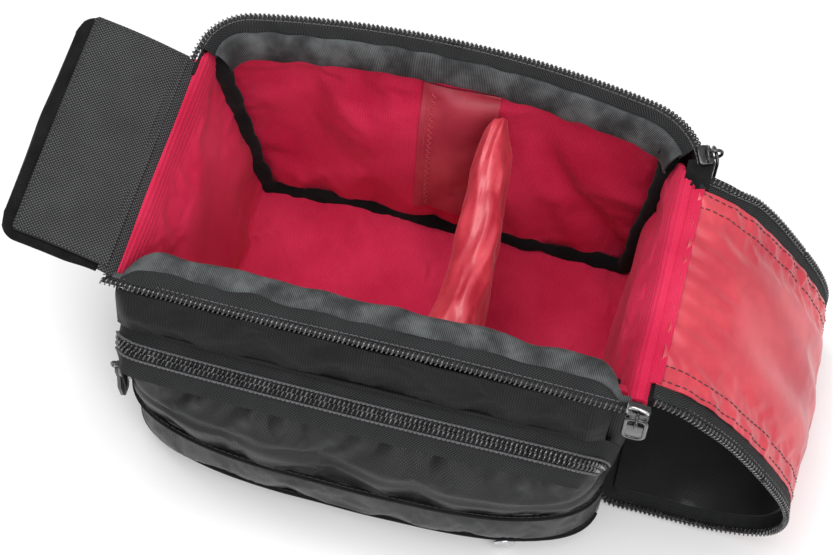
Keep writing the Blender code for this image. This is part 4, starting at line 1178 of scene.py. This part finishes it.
def divider(wall):
    stations, around = 44, 40
    verts = []
    t = np.linspace(0, 1, stations)
    a = np.linspace(0, 2 * np.pi, around, endpoint=False)
    for k in t:
        y_low, y_high = -42.0 + 102.0 * k, -42.0 + 113.0 * k
        half = 4.6 + 4.0 * (1 - k) + 3.0 * ease((0.2 - k) / 0.2)
        mid = 27.0 + 2.6 * (1 - k) + 1.5 * math.sin(k * 5.0)
        top = 105.0 + 2.0 * k - 1.5 * math.sin(k * math.pi)
        for angle in a:
            c, s = math.cos(angle), math.sin(angle)
            f = np.sign(s) * abs(s) ** 0.35
            z = (17.4 + top) / 2 + (top - 17.4) / 2 * f
            share = (z - 17.4) / (top - 17.4)
            width = half * (0.62 + 0.38 * ease((share - 0.3) / 0.5))
            x = mid + np.sign(c) * abs(c) ** 0.6 * width
            x += 0.9 * math.sin(z / 9.0 + k * 5.0) * (1 - share * 0.5)
            verts.append((x, y_low + (y_high - y_low) * share, z))
    faces = []
    for i in range(stations - 1):
        for j in range(around):
            m = (j + 1) % around
            faces.append([i * around + j, i * around + m, (i + 1) * around + m, (i + 1) * around + j])
    faces.append([j for j in range(around - 1, -1, -1)])
    faces.append([(stations - 1) * around + j for j in range(around)])
    verts = np.array(verts)
    ob = puffed("divider_cushion", verts, faces, SATIN, 3.2, 3.0, 3.0)
    co = np.zeros(len(ob.data.vertices) * 3)
    ob.data.vertices.foreach_get("co", co)
    co = co.reshape(-1, 3) / MM
    # long soft creases where the loose cover runs from one end to the other
    k = (co[:, 1] + 42) / 110
    crease = (np.sin(co[:, 2] / 2.7 + 3.0 * np.sin(k * 4.0)) * 0.35
              + ripples(co[:, 1] * 0.35, co[:, 2], 101, 13.0) * 0.7)
    side = np.sign(co[:, 0] - 28.0) * ease((106 - co[:, 2]) / 6.0)
    co[:, 0] += crease * side
    ridge = ease((co[:, 2] - 96) / 7.0)
    fold = np.sin(2 * np.pi * (co[:, 0] - 28.0 + 3.0 * np.sin(k * 9.0)) / 6.5) * 0.7
    co[:, 2] += (ripples(co[:, 1] * 0.3, co[:, 0] * 1.8, 103, 10.0) * 0.7 + fold) * ridge
    ob.data.vertices.foreach_set("co", (co * MM).ravel())
    ob.data.update()
    finish_piece(ob, "divider", ["divider_pad"])

    # hook tab that lies on the back lining
    x, z = wall[0, :, 0], wall[:, 0, 2]
    rows, cols = 26, 14
    grid = np.zeros((rows, cols, 3))
    for i, zz in enumerate(np.linspace(27.0, 104.0, rows)):
        for j, xx in enumerate(np.linspace(-12.0, 23.5, cols)):
            r = np.interp(zz, z, np.arange(len(z)))
            low, high = wall[int(r)], wall[min(int(r) + 1, len(z) - 1)]
            ya = np.interp(xx, low[:, 0], low[:, 1])
            yb = np.interp(xx, high[:, 0], high[:, 1])
            grid[i, j] = (xx - 1.5 * (zz - 27) / 77 * (1 - j / cols), ya + (yb - ya) * (r - int(r)) - 1.6, zz)
    grid[:, :, 1] -= 0.5 * np.sin(np.linspace(0, np.pi, cols))[None, :]
    grid = refine(grid, 2)
    tab = shell("divider_back_tab", grid, 1.0, [DUSTY], sign=1)
    finish_piece(tab, "divider", ["divider_tab_back"])
    edge = grid[2:-2, 4] + np.array([0, -0.35, 0])
    rows = [stitches("divider_tab_zigzag", edge, THREAD_RED, 1.5, 0.2, 0.3, up=(0, -1, 0), zigzag=1.0)]
    edge = grid[2:-2, 2] + np.array([0, -0.3, 0])
    rows.append(stitches("divider_tab_edge", edge, THREAD_RED, 2.0, 0.7, 0.22, up=(0, -1, 0)))
    finish_piece(rows, "divider")
    xs, zs = np.linspace(31.0, 52.0, 12)[None, :], np.linspace(24.0, 103.0, 26)[:, None]
    y = -42.7 + 0.5 * np.sin((xs - 31) / 21 * np.pi) + ripples(xs, zs, 107, 22.0) * 0.25
    front = np.stack([xs + 0 * zs, y, zs + 0 * xs], 2)
    tab = shell("divider_front_tab", front, 0.9, [DUSTY], sign=-1)
    finish_piece(tab, "divider", ["divider_tab_front"])


# ---------------------------------------------------------------- end flap

FLAP_HINGE = (-117.6, 122.0)
FLAP_RISE = math.radians(159.0)
FLAP_TAPER = 0.045
FLAP_FRONT_TO_BACK = (55.0, 113.0)


def flap_place(t, y, reach):
    """Points on the flap's plane, a distance t from its hinge, with the taper in reach."""
    x = FLAP_HINGE[0] + t * reach * math.cos(FLAP_RISE)
    z = FLAP_HINGE[1] + t * reach * math.sin(FLAP_RISE)
    return np.stack([x, y, z], -1)


def flap_bow(t, y, share):
    """Height of the flap's gentle crown at a share of the way out."""
    return 0.7 * np.sin(np.pi * share) + 0.35 * ripples(t, y, 111, 60.0)


def flap_grid(near, far, y0, y1, rows, cols, radius, drop):
    """Grid over the flap, rising to the left, with rounded far corners."""
    t = np.linspace(near, far, cols)[None, :]
    v = np.linspace(0, 1, rows)[:, None]
    reach = 1.0 - FLAP_TAPER * (1 - v)
    inset = radius - np.sqrt(np.clip(radius ** 2 - np.clip(t - (far - radius), 0, radius) ** 2, 0, None))
    y = (y0 + inset) + ((y1 - inset) - (y0 + inset)) * v
    up = np.array([math.sin(FLAP_RISE), 0, -math.cos(FLAP_RISE)])
    bow = flap_bow(t, y, (t - near) / (far - near))
    return flap_place(t, y, reach) + up * (drop + bow)[:, :, None], up


def end_flap():
    grid, up = flap_grid(-0.5, 44.6, -58.2, 54.6, 60, 40, 1.2, 1.5)
    panel = shell("end_flap_cover", grid, 1.5, [BALLISTIC], sign=-1, uv_turn=False)
    back, up = flap_grid(3.5, 50.2, -61.2, 54.6, 60, 44, 9.0, -0.3)
    thick = np.broadcast_to(0.9 + 1.9 * ease(np.linspace(-0.1, 3.0, 44)), (60, 44))
    pad = shell("end_flap_pad", back, thick, [WEBBING, PLAIN], sign=-1, edge=0.45)
    finish_piece(panel, "end_flap", ["end_flap_panel"])
    finish_piece(pad, "end_flap", ["end_flap_backing"])
    rows = []
    corners = ((2.0, -56.6), (43.4, -56.6), (43.4, 53.0), (2.0, 53.0))
    for k, (a, b) in enumerate(zip(corners, corners[1:])):
        t = np.linspace(0, 1, 60)
        s = a[0] + (b[0] - a[0]) * t
        y = a[1] + (b[1] - a[1]) * t
        back_edge, depth = FLAP_FRONT_TO_BACK
        reach = 1.0 - FLAP_TAPER * (back_edge - y) / depth
        bow = flap_bow(s, y, (s + 0.5) / 45.1)
        p = flap_place(s, y, reach) + up * (1.2 + bow + 0.25)[:, None]
        rows.append(stitches(f"end_flap_stitches_{k}", p, THREAD_BLACK, 2.4, 0.8, 0.3))
    finish_piece(rows, "end_flap")
    # soft fabric hinge between the end wall and the flap
    s = np.linspace(0, 1, 10)
    x = -112.6 - 7.2 * s
    z = 118.6 + 6.1 * s ** 0.75
    y = np.linspace(-61.0, 54.0, 40)
    web = sheet_grid(x[:, None], y[None], z[:, None])
    ob = shell("end_flap_hinge_cloth", web, 1.0, [BALLISTIC, WEBBING], sign=1)
    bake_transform(ob)


# ---------------------------------------------------------------- lid

LID_START = (118.6, 121.6)
# the lid's direction in degrees at arc lengths along it, from the hinge to its tucked-under end
LID_TURNS = ((0.0, -8.0), (9.0, -19.0), (19.0, -33.0), (30.0, -42.0), (48.0, -49.0), (72.0, -55.5),
             (97.0, -61.5), (107.0, -70.0), (119.0, -88.0), (133.0, -112.0), (146.0, -147.0),
             (158.0, -166.0), (172.0, -177.0), (186.0, -180.0), (226.0, -180.0))
LID_LENGTH = 224.0
LID_SPLIT = 76.0
SATIN_END = LID_LENGTH - 9.0
# the two bodies given for each half of the lid, and the arc lengths where a blend between them would start
# and end; the pieces are not blended, only baked in place
NEAR_SPAN = (("lid_near", "lid_mid"), (20.0, 50.0))
FAR_SPAN = (("lid_mid", "lid_far"), (92.0, 172.0))
COIL_OUT = -0.8


def lid_curve(step=1.0):
    """Lid's middle line in the XZ plane: arc length, point and outward direction."""
    s = np.arange(0.0, LID_LENGTH + step / 2, step)
    a = np.radians(np.interp(s, [k for k, _ in LID_TURNS], [d for _, d in LID_TURNS]))
    kernel = np.hanning(13)
    padded = np.r_[np.full(6, a[0]), a, np.full(6, a[-1])]
    a = np.convolve(padded, kernel / kernel.sum(), "valid")
    x = LID_START[0] + np.r_[0, np.cumsum(np.cos(a[:-1]) * step)]
    z = LID_START[1] + np.r_[0, np.cumsum(np.sin(a[:-1]) * step)]
    return s, np.stack([x, z], 1), np.stack([-np.sin(a), np.cos(a)], 1)


def lid_point(s, y, out):
    """Point on the lid at arc length s, depth y and distance out on the satin side."""
    ss, line, normal = LID_CURVE
    p, n = (np.stack([np.interp(s, ss, table[:, k]) for k in (0, 1)], -1) for table in (line, normal))
    xz = p + n * np.asarray(out, float)[..., None]
    return np.stack([xz[..., 0], np.broadcast_to(y, np.shape(s)), xz[..., 1]], -1)


LID_CURVE = lid_curve()


def on_satin(satin, s, y, height):
    """Points a little above the settled satin, at arc length s and depth y."""
    lengths, depths, grid = satin
    i = np.interp(s, lengths, np.arange(grid.shape[0]))
    j = np.interp(y, depths, np.arange(grid.shape[1]))
    a, b = np.floor(i).astype(int), np.floor(j).astype(int)
    a2, b2 = np.minimum(a + 1, grid.shape[0] - 1), np.minimum(b + 1, grid.shape[1] - 1)
    f, g = (i - a)[:, None], (j - b)[:, None]
    low = grid[a, b] * (1 - g) + grid[a, b2] * g
    high = grid[a2, b] * (1 - g) + grid[a2, b2] * g
    base = lid_point(s, y, 0 * s)
    up = lid_point(s, y, 1.0 + 0 * s) - base
    return low * (1 - f) + high * f + up * height, up


def lid_parts():
    """The lid's two spans: over the near fold, and round the curl."""
    yield "near", 2.0, LID_SPLIT, *NEAR_SPAN
    yield "far", LID_SPLIT, SATIN_END, *FAR_SPAN


def lid_blend(ob, bodies, span, slot, nodes=()):
    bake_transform(ob)
    if nodes:
        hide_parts(*nodes)
    return ob


def lid():
    far_nodes = {"near": ["lid_near_outer"], "far": ["lid_mid_outer", "lid_far_outer"]}
    satin_nodes = {"near": ["lid_near_satin"], "far": ["lid_mid_satin", "lid_far_satin"]}
    # the satin is settled in one piece, then parted at the split so both spans match there
    s_all = np.linspace(2.0, SATIN_END, 96)
    split = int(np.argmin(np.abs(s_all - LID_SPLIT)))
    s_all[split] = LID_SPLIT
    y_all = np.linspace(-51.0, 46.0, 46)
    S, Y = np.meshgrid(s_all, y_all, indexing="ij")
    rest = ease((S - 150.0) / 25.0)
    near_rim = 1 - ease((S - 60.0) / 40.0)
    across, along_lid = np.sin(np.pi * (Y + 51) / 97.0), np.sin(np.pi * np.clip(S / 205.0, 0, 1))
    out = 0.5 + (1.3 - 0.8 * near_rim) * across * along_lid * (1 - rest)
    wrinkle = np.exp(-((S - 4) / 15.0) ** 2) * (0.5 * np.sin(Y / 1.5 + 2.0 * np.sin(Y / 11.0) + S / 9.0)
                                                + ripples(S * 0.4, Y, 121, 24.0) * 0.5)
    along = ripples(S * 0.3, Y, 122, 34.0) * 0.7 * ease((S - 10) / 40) * ease((165 - S) / 50)
    hem = np.minimum(Y + 51, 46 - Y)
    pucker = np.exp(-((hem - 5.0) / 4.5) ** 2) * ripples(S, Y * 0.25, 123, 8.5) * 0.75
    # out is the height above the lid's middle line, on the satin's side
    grid = lid_point(S, Y, out + wrinkle + (along + pucker) * (1 - 0.7 * rest))
    mask = border(grid, 1)
    mask = np.maximum(mask, (np.abs(hem - 9.0) < 1.2) * 1.0)
    grid = relax(grid, mask, pressure=0.0, grow=0.014, cap=1.6, bend=0.8)
    base = lid_point(S, Y, 0 * S)
    outward = lid_point(S, Y, 1.0 + 0 * S) - base
    height = ((grid - base) * outward).sum(2)
    grid = grid + outward * np.maximum(0.2 - height, 0.0)[:, :, None]
    for label, a, b, bodies, span in lid_parts():
        part = grid[:split + 1] if label == "near" else grid[split:]
        ob = shell(f"lid_satin_{label}", refine(part, 2), 0.8, [SATIN, WEBBING], sign=-1)
        lid_blend(ob, bodies, span, "red_satin", satin_nodes[label])

        s = np.linspace(a, b, int((b - a) / 3.0))
        y = np.linspace(-51.5, 46.5, 40)
        S2, Y2 = np.meshgrid(s, y, indexing="ij")
        skin = lid_point(S2, Y2, -1.2 + 0 * S2)
        puff = 1.8 + 1.2 * np.sin(np.pi * (Y2 + 51.5) / 98.0) + ripples(S2, Y2, 131, 38.0) * 0.5
        ob = shell(f"lid_skin_{label}", skin, puff, [QUILT], sign=-1)
        lid_blend(ob, bodies, span, "ballistic_nylon", far_nodes[label])

        for side, y_coil, inner in (("front", -59.2, -49.5), ("back", 56.1, 44.5)):
            sign = 1 if side == "back" else -1
            rows = np.linspace(a, b + 8.0 * (label == "far"), int((b - a) / 2.0))
            spread = np.linspace(0, 1, 6)
            S3, V3 = np.meshgrid(rows, spread, indexing="ij")
            edge = y_coil - sign * 1.2
            Y3 = inner + (edge - inner) * V3
            lift_off = -1.3 + 0.9 * V3 + 0.4 * np.sin(np.pi * V3) + ripples(S3, Y3, 133, 30.0) * 0.15
            tape = lid_point(S3, Y3, lift_off)
            ob = shell(f"lid_tape_{label}_{side}", tape, 0.7, [TAPE], sign=-1)
            tape_nodes = [f"lid_mid_tape_{side}"] if label == "far" else []
            lid_blend(ob, bodies, span, "zip_tape", tape_nodes)

    lid_zips()
    lid_end()
    lid_stitching((s_all, y_all, grid))
    lid_hinge_cloth()


def lid_edge_y(s, side):
    """Depth of the lid's zip coil, which runs in a little at the back near the hinge."""
    if side == "front":
        return -59.2 + 0.5 * ripples(s, 0, 134, 70.0) * ease((s - 12) / 20)
    return 52.7 + 3.4 * ease((s - 14) / 22) + 0.5 * ripples(s, 0, 135, 70.0) * ease((s - 12) / 20)


def lid_path(points):
    """Path on the lid's zip line through (arc length, depth) points, with its up directions."""
    flat = resample(rounded(points, 3), step=1.0)
    path = lid_point(flat[:, 0], flat[:, 1], COIL_OUT + 0 * flat[:, 0])
    up = lid_point(flat[:, 0], flat[:, 1], 1.0 + 0 * flat[:, 0]) - path
    return path, up


def lid_zips():
    for side, flip in (("front", 1.0), ("back", -1.0)):
        s = np.arange(3.0, LID_SPLIT + 0.5, 1.0)
        y = lid_edge_y(s, side)
        path = lid_point(s, y, COIL_OUT + 0 * s)
        up = lid_point(s, y, 1.0 + 0 * s) - path
        for ob in zip_edge(f"lid_teeth_near_{side}", path, up=up, tape_side=-flip):
            nodes = [f"lid_near_coil_{side}"] if ob.name == f"lid_teeth_near_{side}" else []
            lid_blend(ob, *NEAR_SPAN, "zip_coil", nodes)
    a, end = LID_SPLIT + 0.6, LID_LENGTH - 1.6
    s = np.arange(a, end - 14.0, 2.0)
    points = [(k, float(lid_edge_y(np.array(k), "front"))) for k in s]
    points += [(end - 6.0, -59.0), (end - 0.8, -56.0), (end, -50.0),
               (end, 46.0), (end - 0.8, 52.5), (end - 6.0, 56.0)]
    points += [(k, float(lid_edge_y(np.array(k), "back"))) for k in s[::-1]]
    path, up = lid_path(points)
    for ob in zip_edge("lid_teeth_far", path, up=up, tape_side=-1.0):
        coils = ["lid_far_coil", "lid_mid_coil_front", "lid_mid_coil_back"]
        lid_blend(ob, *FAR_SPAN, "zip_coil", coils if ob.name == "lid_teeth_far" else [])


def lid_end():
    """Tape across the lid's far end."""
    end = LID_LENGTH - 2.6
    S, Y = np.meshgrid(np.linspace(end - 8.0, end, 6), np.linspace(-57.0, 54.0, 60), indexing="ij")
    tape = lid_point(S, Y, -0.7 + 0 * S)
    ob = shell("lid_tape_end", tape, 0.7, [TAPE], sign=-1, uv_turn=True)
    lid_blend(ob, *FAR_SPAN, "zip_tape", ["lid_far_tape"])


def lid_stitching(satin):
    """Two rows of dark stitches down each hem of the satin."""
    for label, a, b, bodies, span in lid_parts():
        s = np.arange(a + 1.0, b - 0.5, 1.0)
        for side, sign, y_edge in (("front", 1.0, -51.0), ("back", -1.0, 46.0)):
            for k, inset in enumerate((2.2, 9.0)):
                y = y_edge + sign * inset + 0.35 * ripples(s, 0, 141 + k, 40.0)
                path, up = on_satin(satin, s, y, 0.12)
                ob = stitches(f"lid_stitches_{label}_{side}_{k}", path, THREAD_BLACK, 2.5, 0.9, 0.24, up=up)
                lid_blend(ob, bodies, span, "red_satin")


def lid_hinge_cloth():
    s = np.linspace(0, 1, 8)[:, None]
    y = np.linspace(-50.5, 46.0, 40)[None, :]
    web = sheet_grid(116.4 + 6.0 * s, y, 119.2 + 3.2 * s ** 0.7)
    ob = shell("lid_hinge_cloth", web, 1.0, [KNIT, WEBBING], sign=-1, uv_turn=True)
    y = np.linspace(-58.0, 60.5, 40)[None, :]
    corner = 3.4 * ease((y - 50.0) / 1.5)
    under = sheet_grid(113.0 + 11.0 * s, y, 116.8 + 3.4 * s ** 0.6 + corner)
    backing = shell("lid_hinge_backing", under, 1.0, [WEBBING], sign=-1)
    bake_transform(backing)
    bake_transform(ob)


# ---------------------------------------------------------------- kept CAD nodes, stage and camera

def dress_cad():
    for node, mat in (("base_panel", QUILT), ("base_board", BOARD)):
        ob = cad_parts[node]
        for k in range(max(len(ob.material_slots), 1)):
            if not ob.material_slots:
                ob.data.materials.append(mat)
            ob.material_slots[k].material = mat


LIGHTS = (("key", (-0.40, 0.30, 1.1), 0.6, 5.5), ("fill", (0.50, -0.80, 0.90), 0.9, 8.5),
          ("top", (0.10, 0.0, 1.35), 0.9, 4.5))
LIGHT_AIM = (0, 0, 0.06)
FLOOR_REACH = 3
FLOOR_Z = -0.0004


def stage():
    mesh = bpy.data.meshes.new("floor")
    r = FLOOR_REACH
    mesh.from_pydata([(x, y, FLOOR_Z) for x, y in ((-r, -r), (r, -r), (r, r), (-r, r))], [], [(0, 1, 2, 3)])
    g = Graph("pale_floor")
    g.link(g.mix(g.noise(3.0), (0.90, 0.90, 0.90), (0.94, 0.94, 0.94)), g.bsdf.inputs["Base Color"])
    mesh.materials.append(g.set(rough=0.9).mat)
    floor = bpy.data.objects.new("floor", mesh)
    bpy.context.scene.collection.objects.link(floor)
    world = bpy.data.worlds.new("studio")
    world.use_nodes = True
    world.node_tree.nodes["Background"].inputs[0].default_value = (1.0, 1.0, 1.0, 1.0)
    world.node_tree.nodes["Background"].inputs[1].default_value = 0.62
    bpy.context.scene.world = world
    bpy.context.scene.view_settings.view_transform = "Standard"
    for name, spot, size, power in LIGHTS:
        light = bpy.data.lights.new(name, "AREA")
        light.energy, light.size = power, size
        ob = bpy.data.objects.new(name, light)
        ob.location = spot
        ob.rotation_euler = (Vector(LIGHT_AIM) - Vector(spot)).to_track_quat("-Z", "Y").to_euler()
        bpy.context.scene.collection.objects.link(ob)


def camera():
    azimuth, elevation, distance = math.radians(15.0), math.radians(61.0), 0.84
    target = Vector((0.0, 0.0, 0.080))
    back = Vector((math.sin(azimuth) * math.cos(elevation), -math.cos(azimuth) * math.cos(elevation),
                   math.sin(elevation)))
    data = bpy.data.cameras.new("camera")
    data.lens, data.sensor_width = 80.0, 36.0
    data.shift_x, data.shift_y = 0.012, -0.019
    cam = bpy.data.objects.new("camera", data)
    cam.location = target + back * distance
    cam.rotation_euler = (-back).to_track_quat("-Z", "Y").to_euler()
    bpy.context.scene.collection.objects.link(cam)
    bpy.context.scene.camera = cam


camera()
stage()
dress_cad()
lining_strip()
back_wall = lining_back()
lining_front()
seam_binding("seam_binding_back", 59.6, "binding_back", True)
seam_binding("seam_binding_front", -42.6, "binding_front", False)
rim_front()
rim_back()
outer_shell()
front_panels()
pocket()
pocket_zip()
sliders()
stud()
strap_rings()
divider(back_wall)
end_flap()
lid()
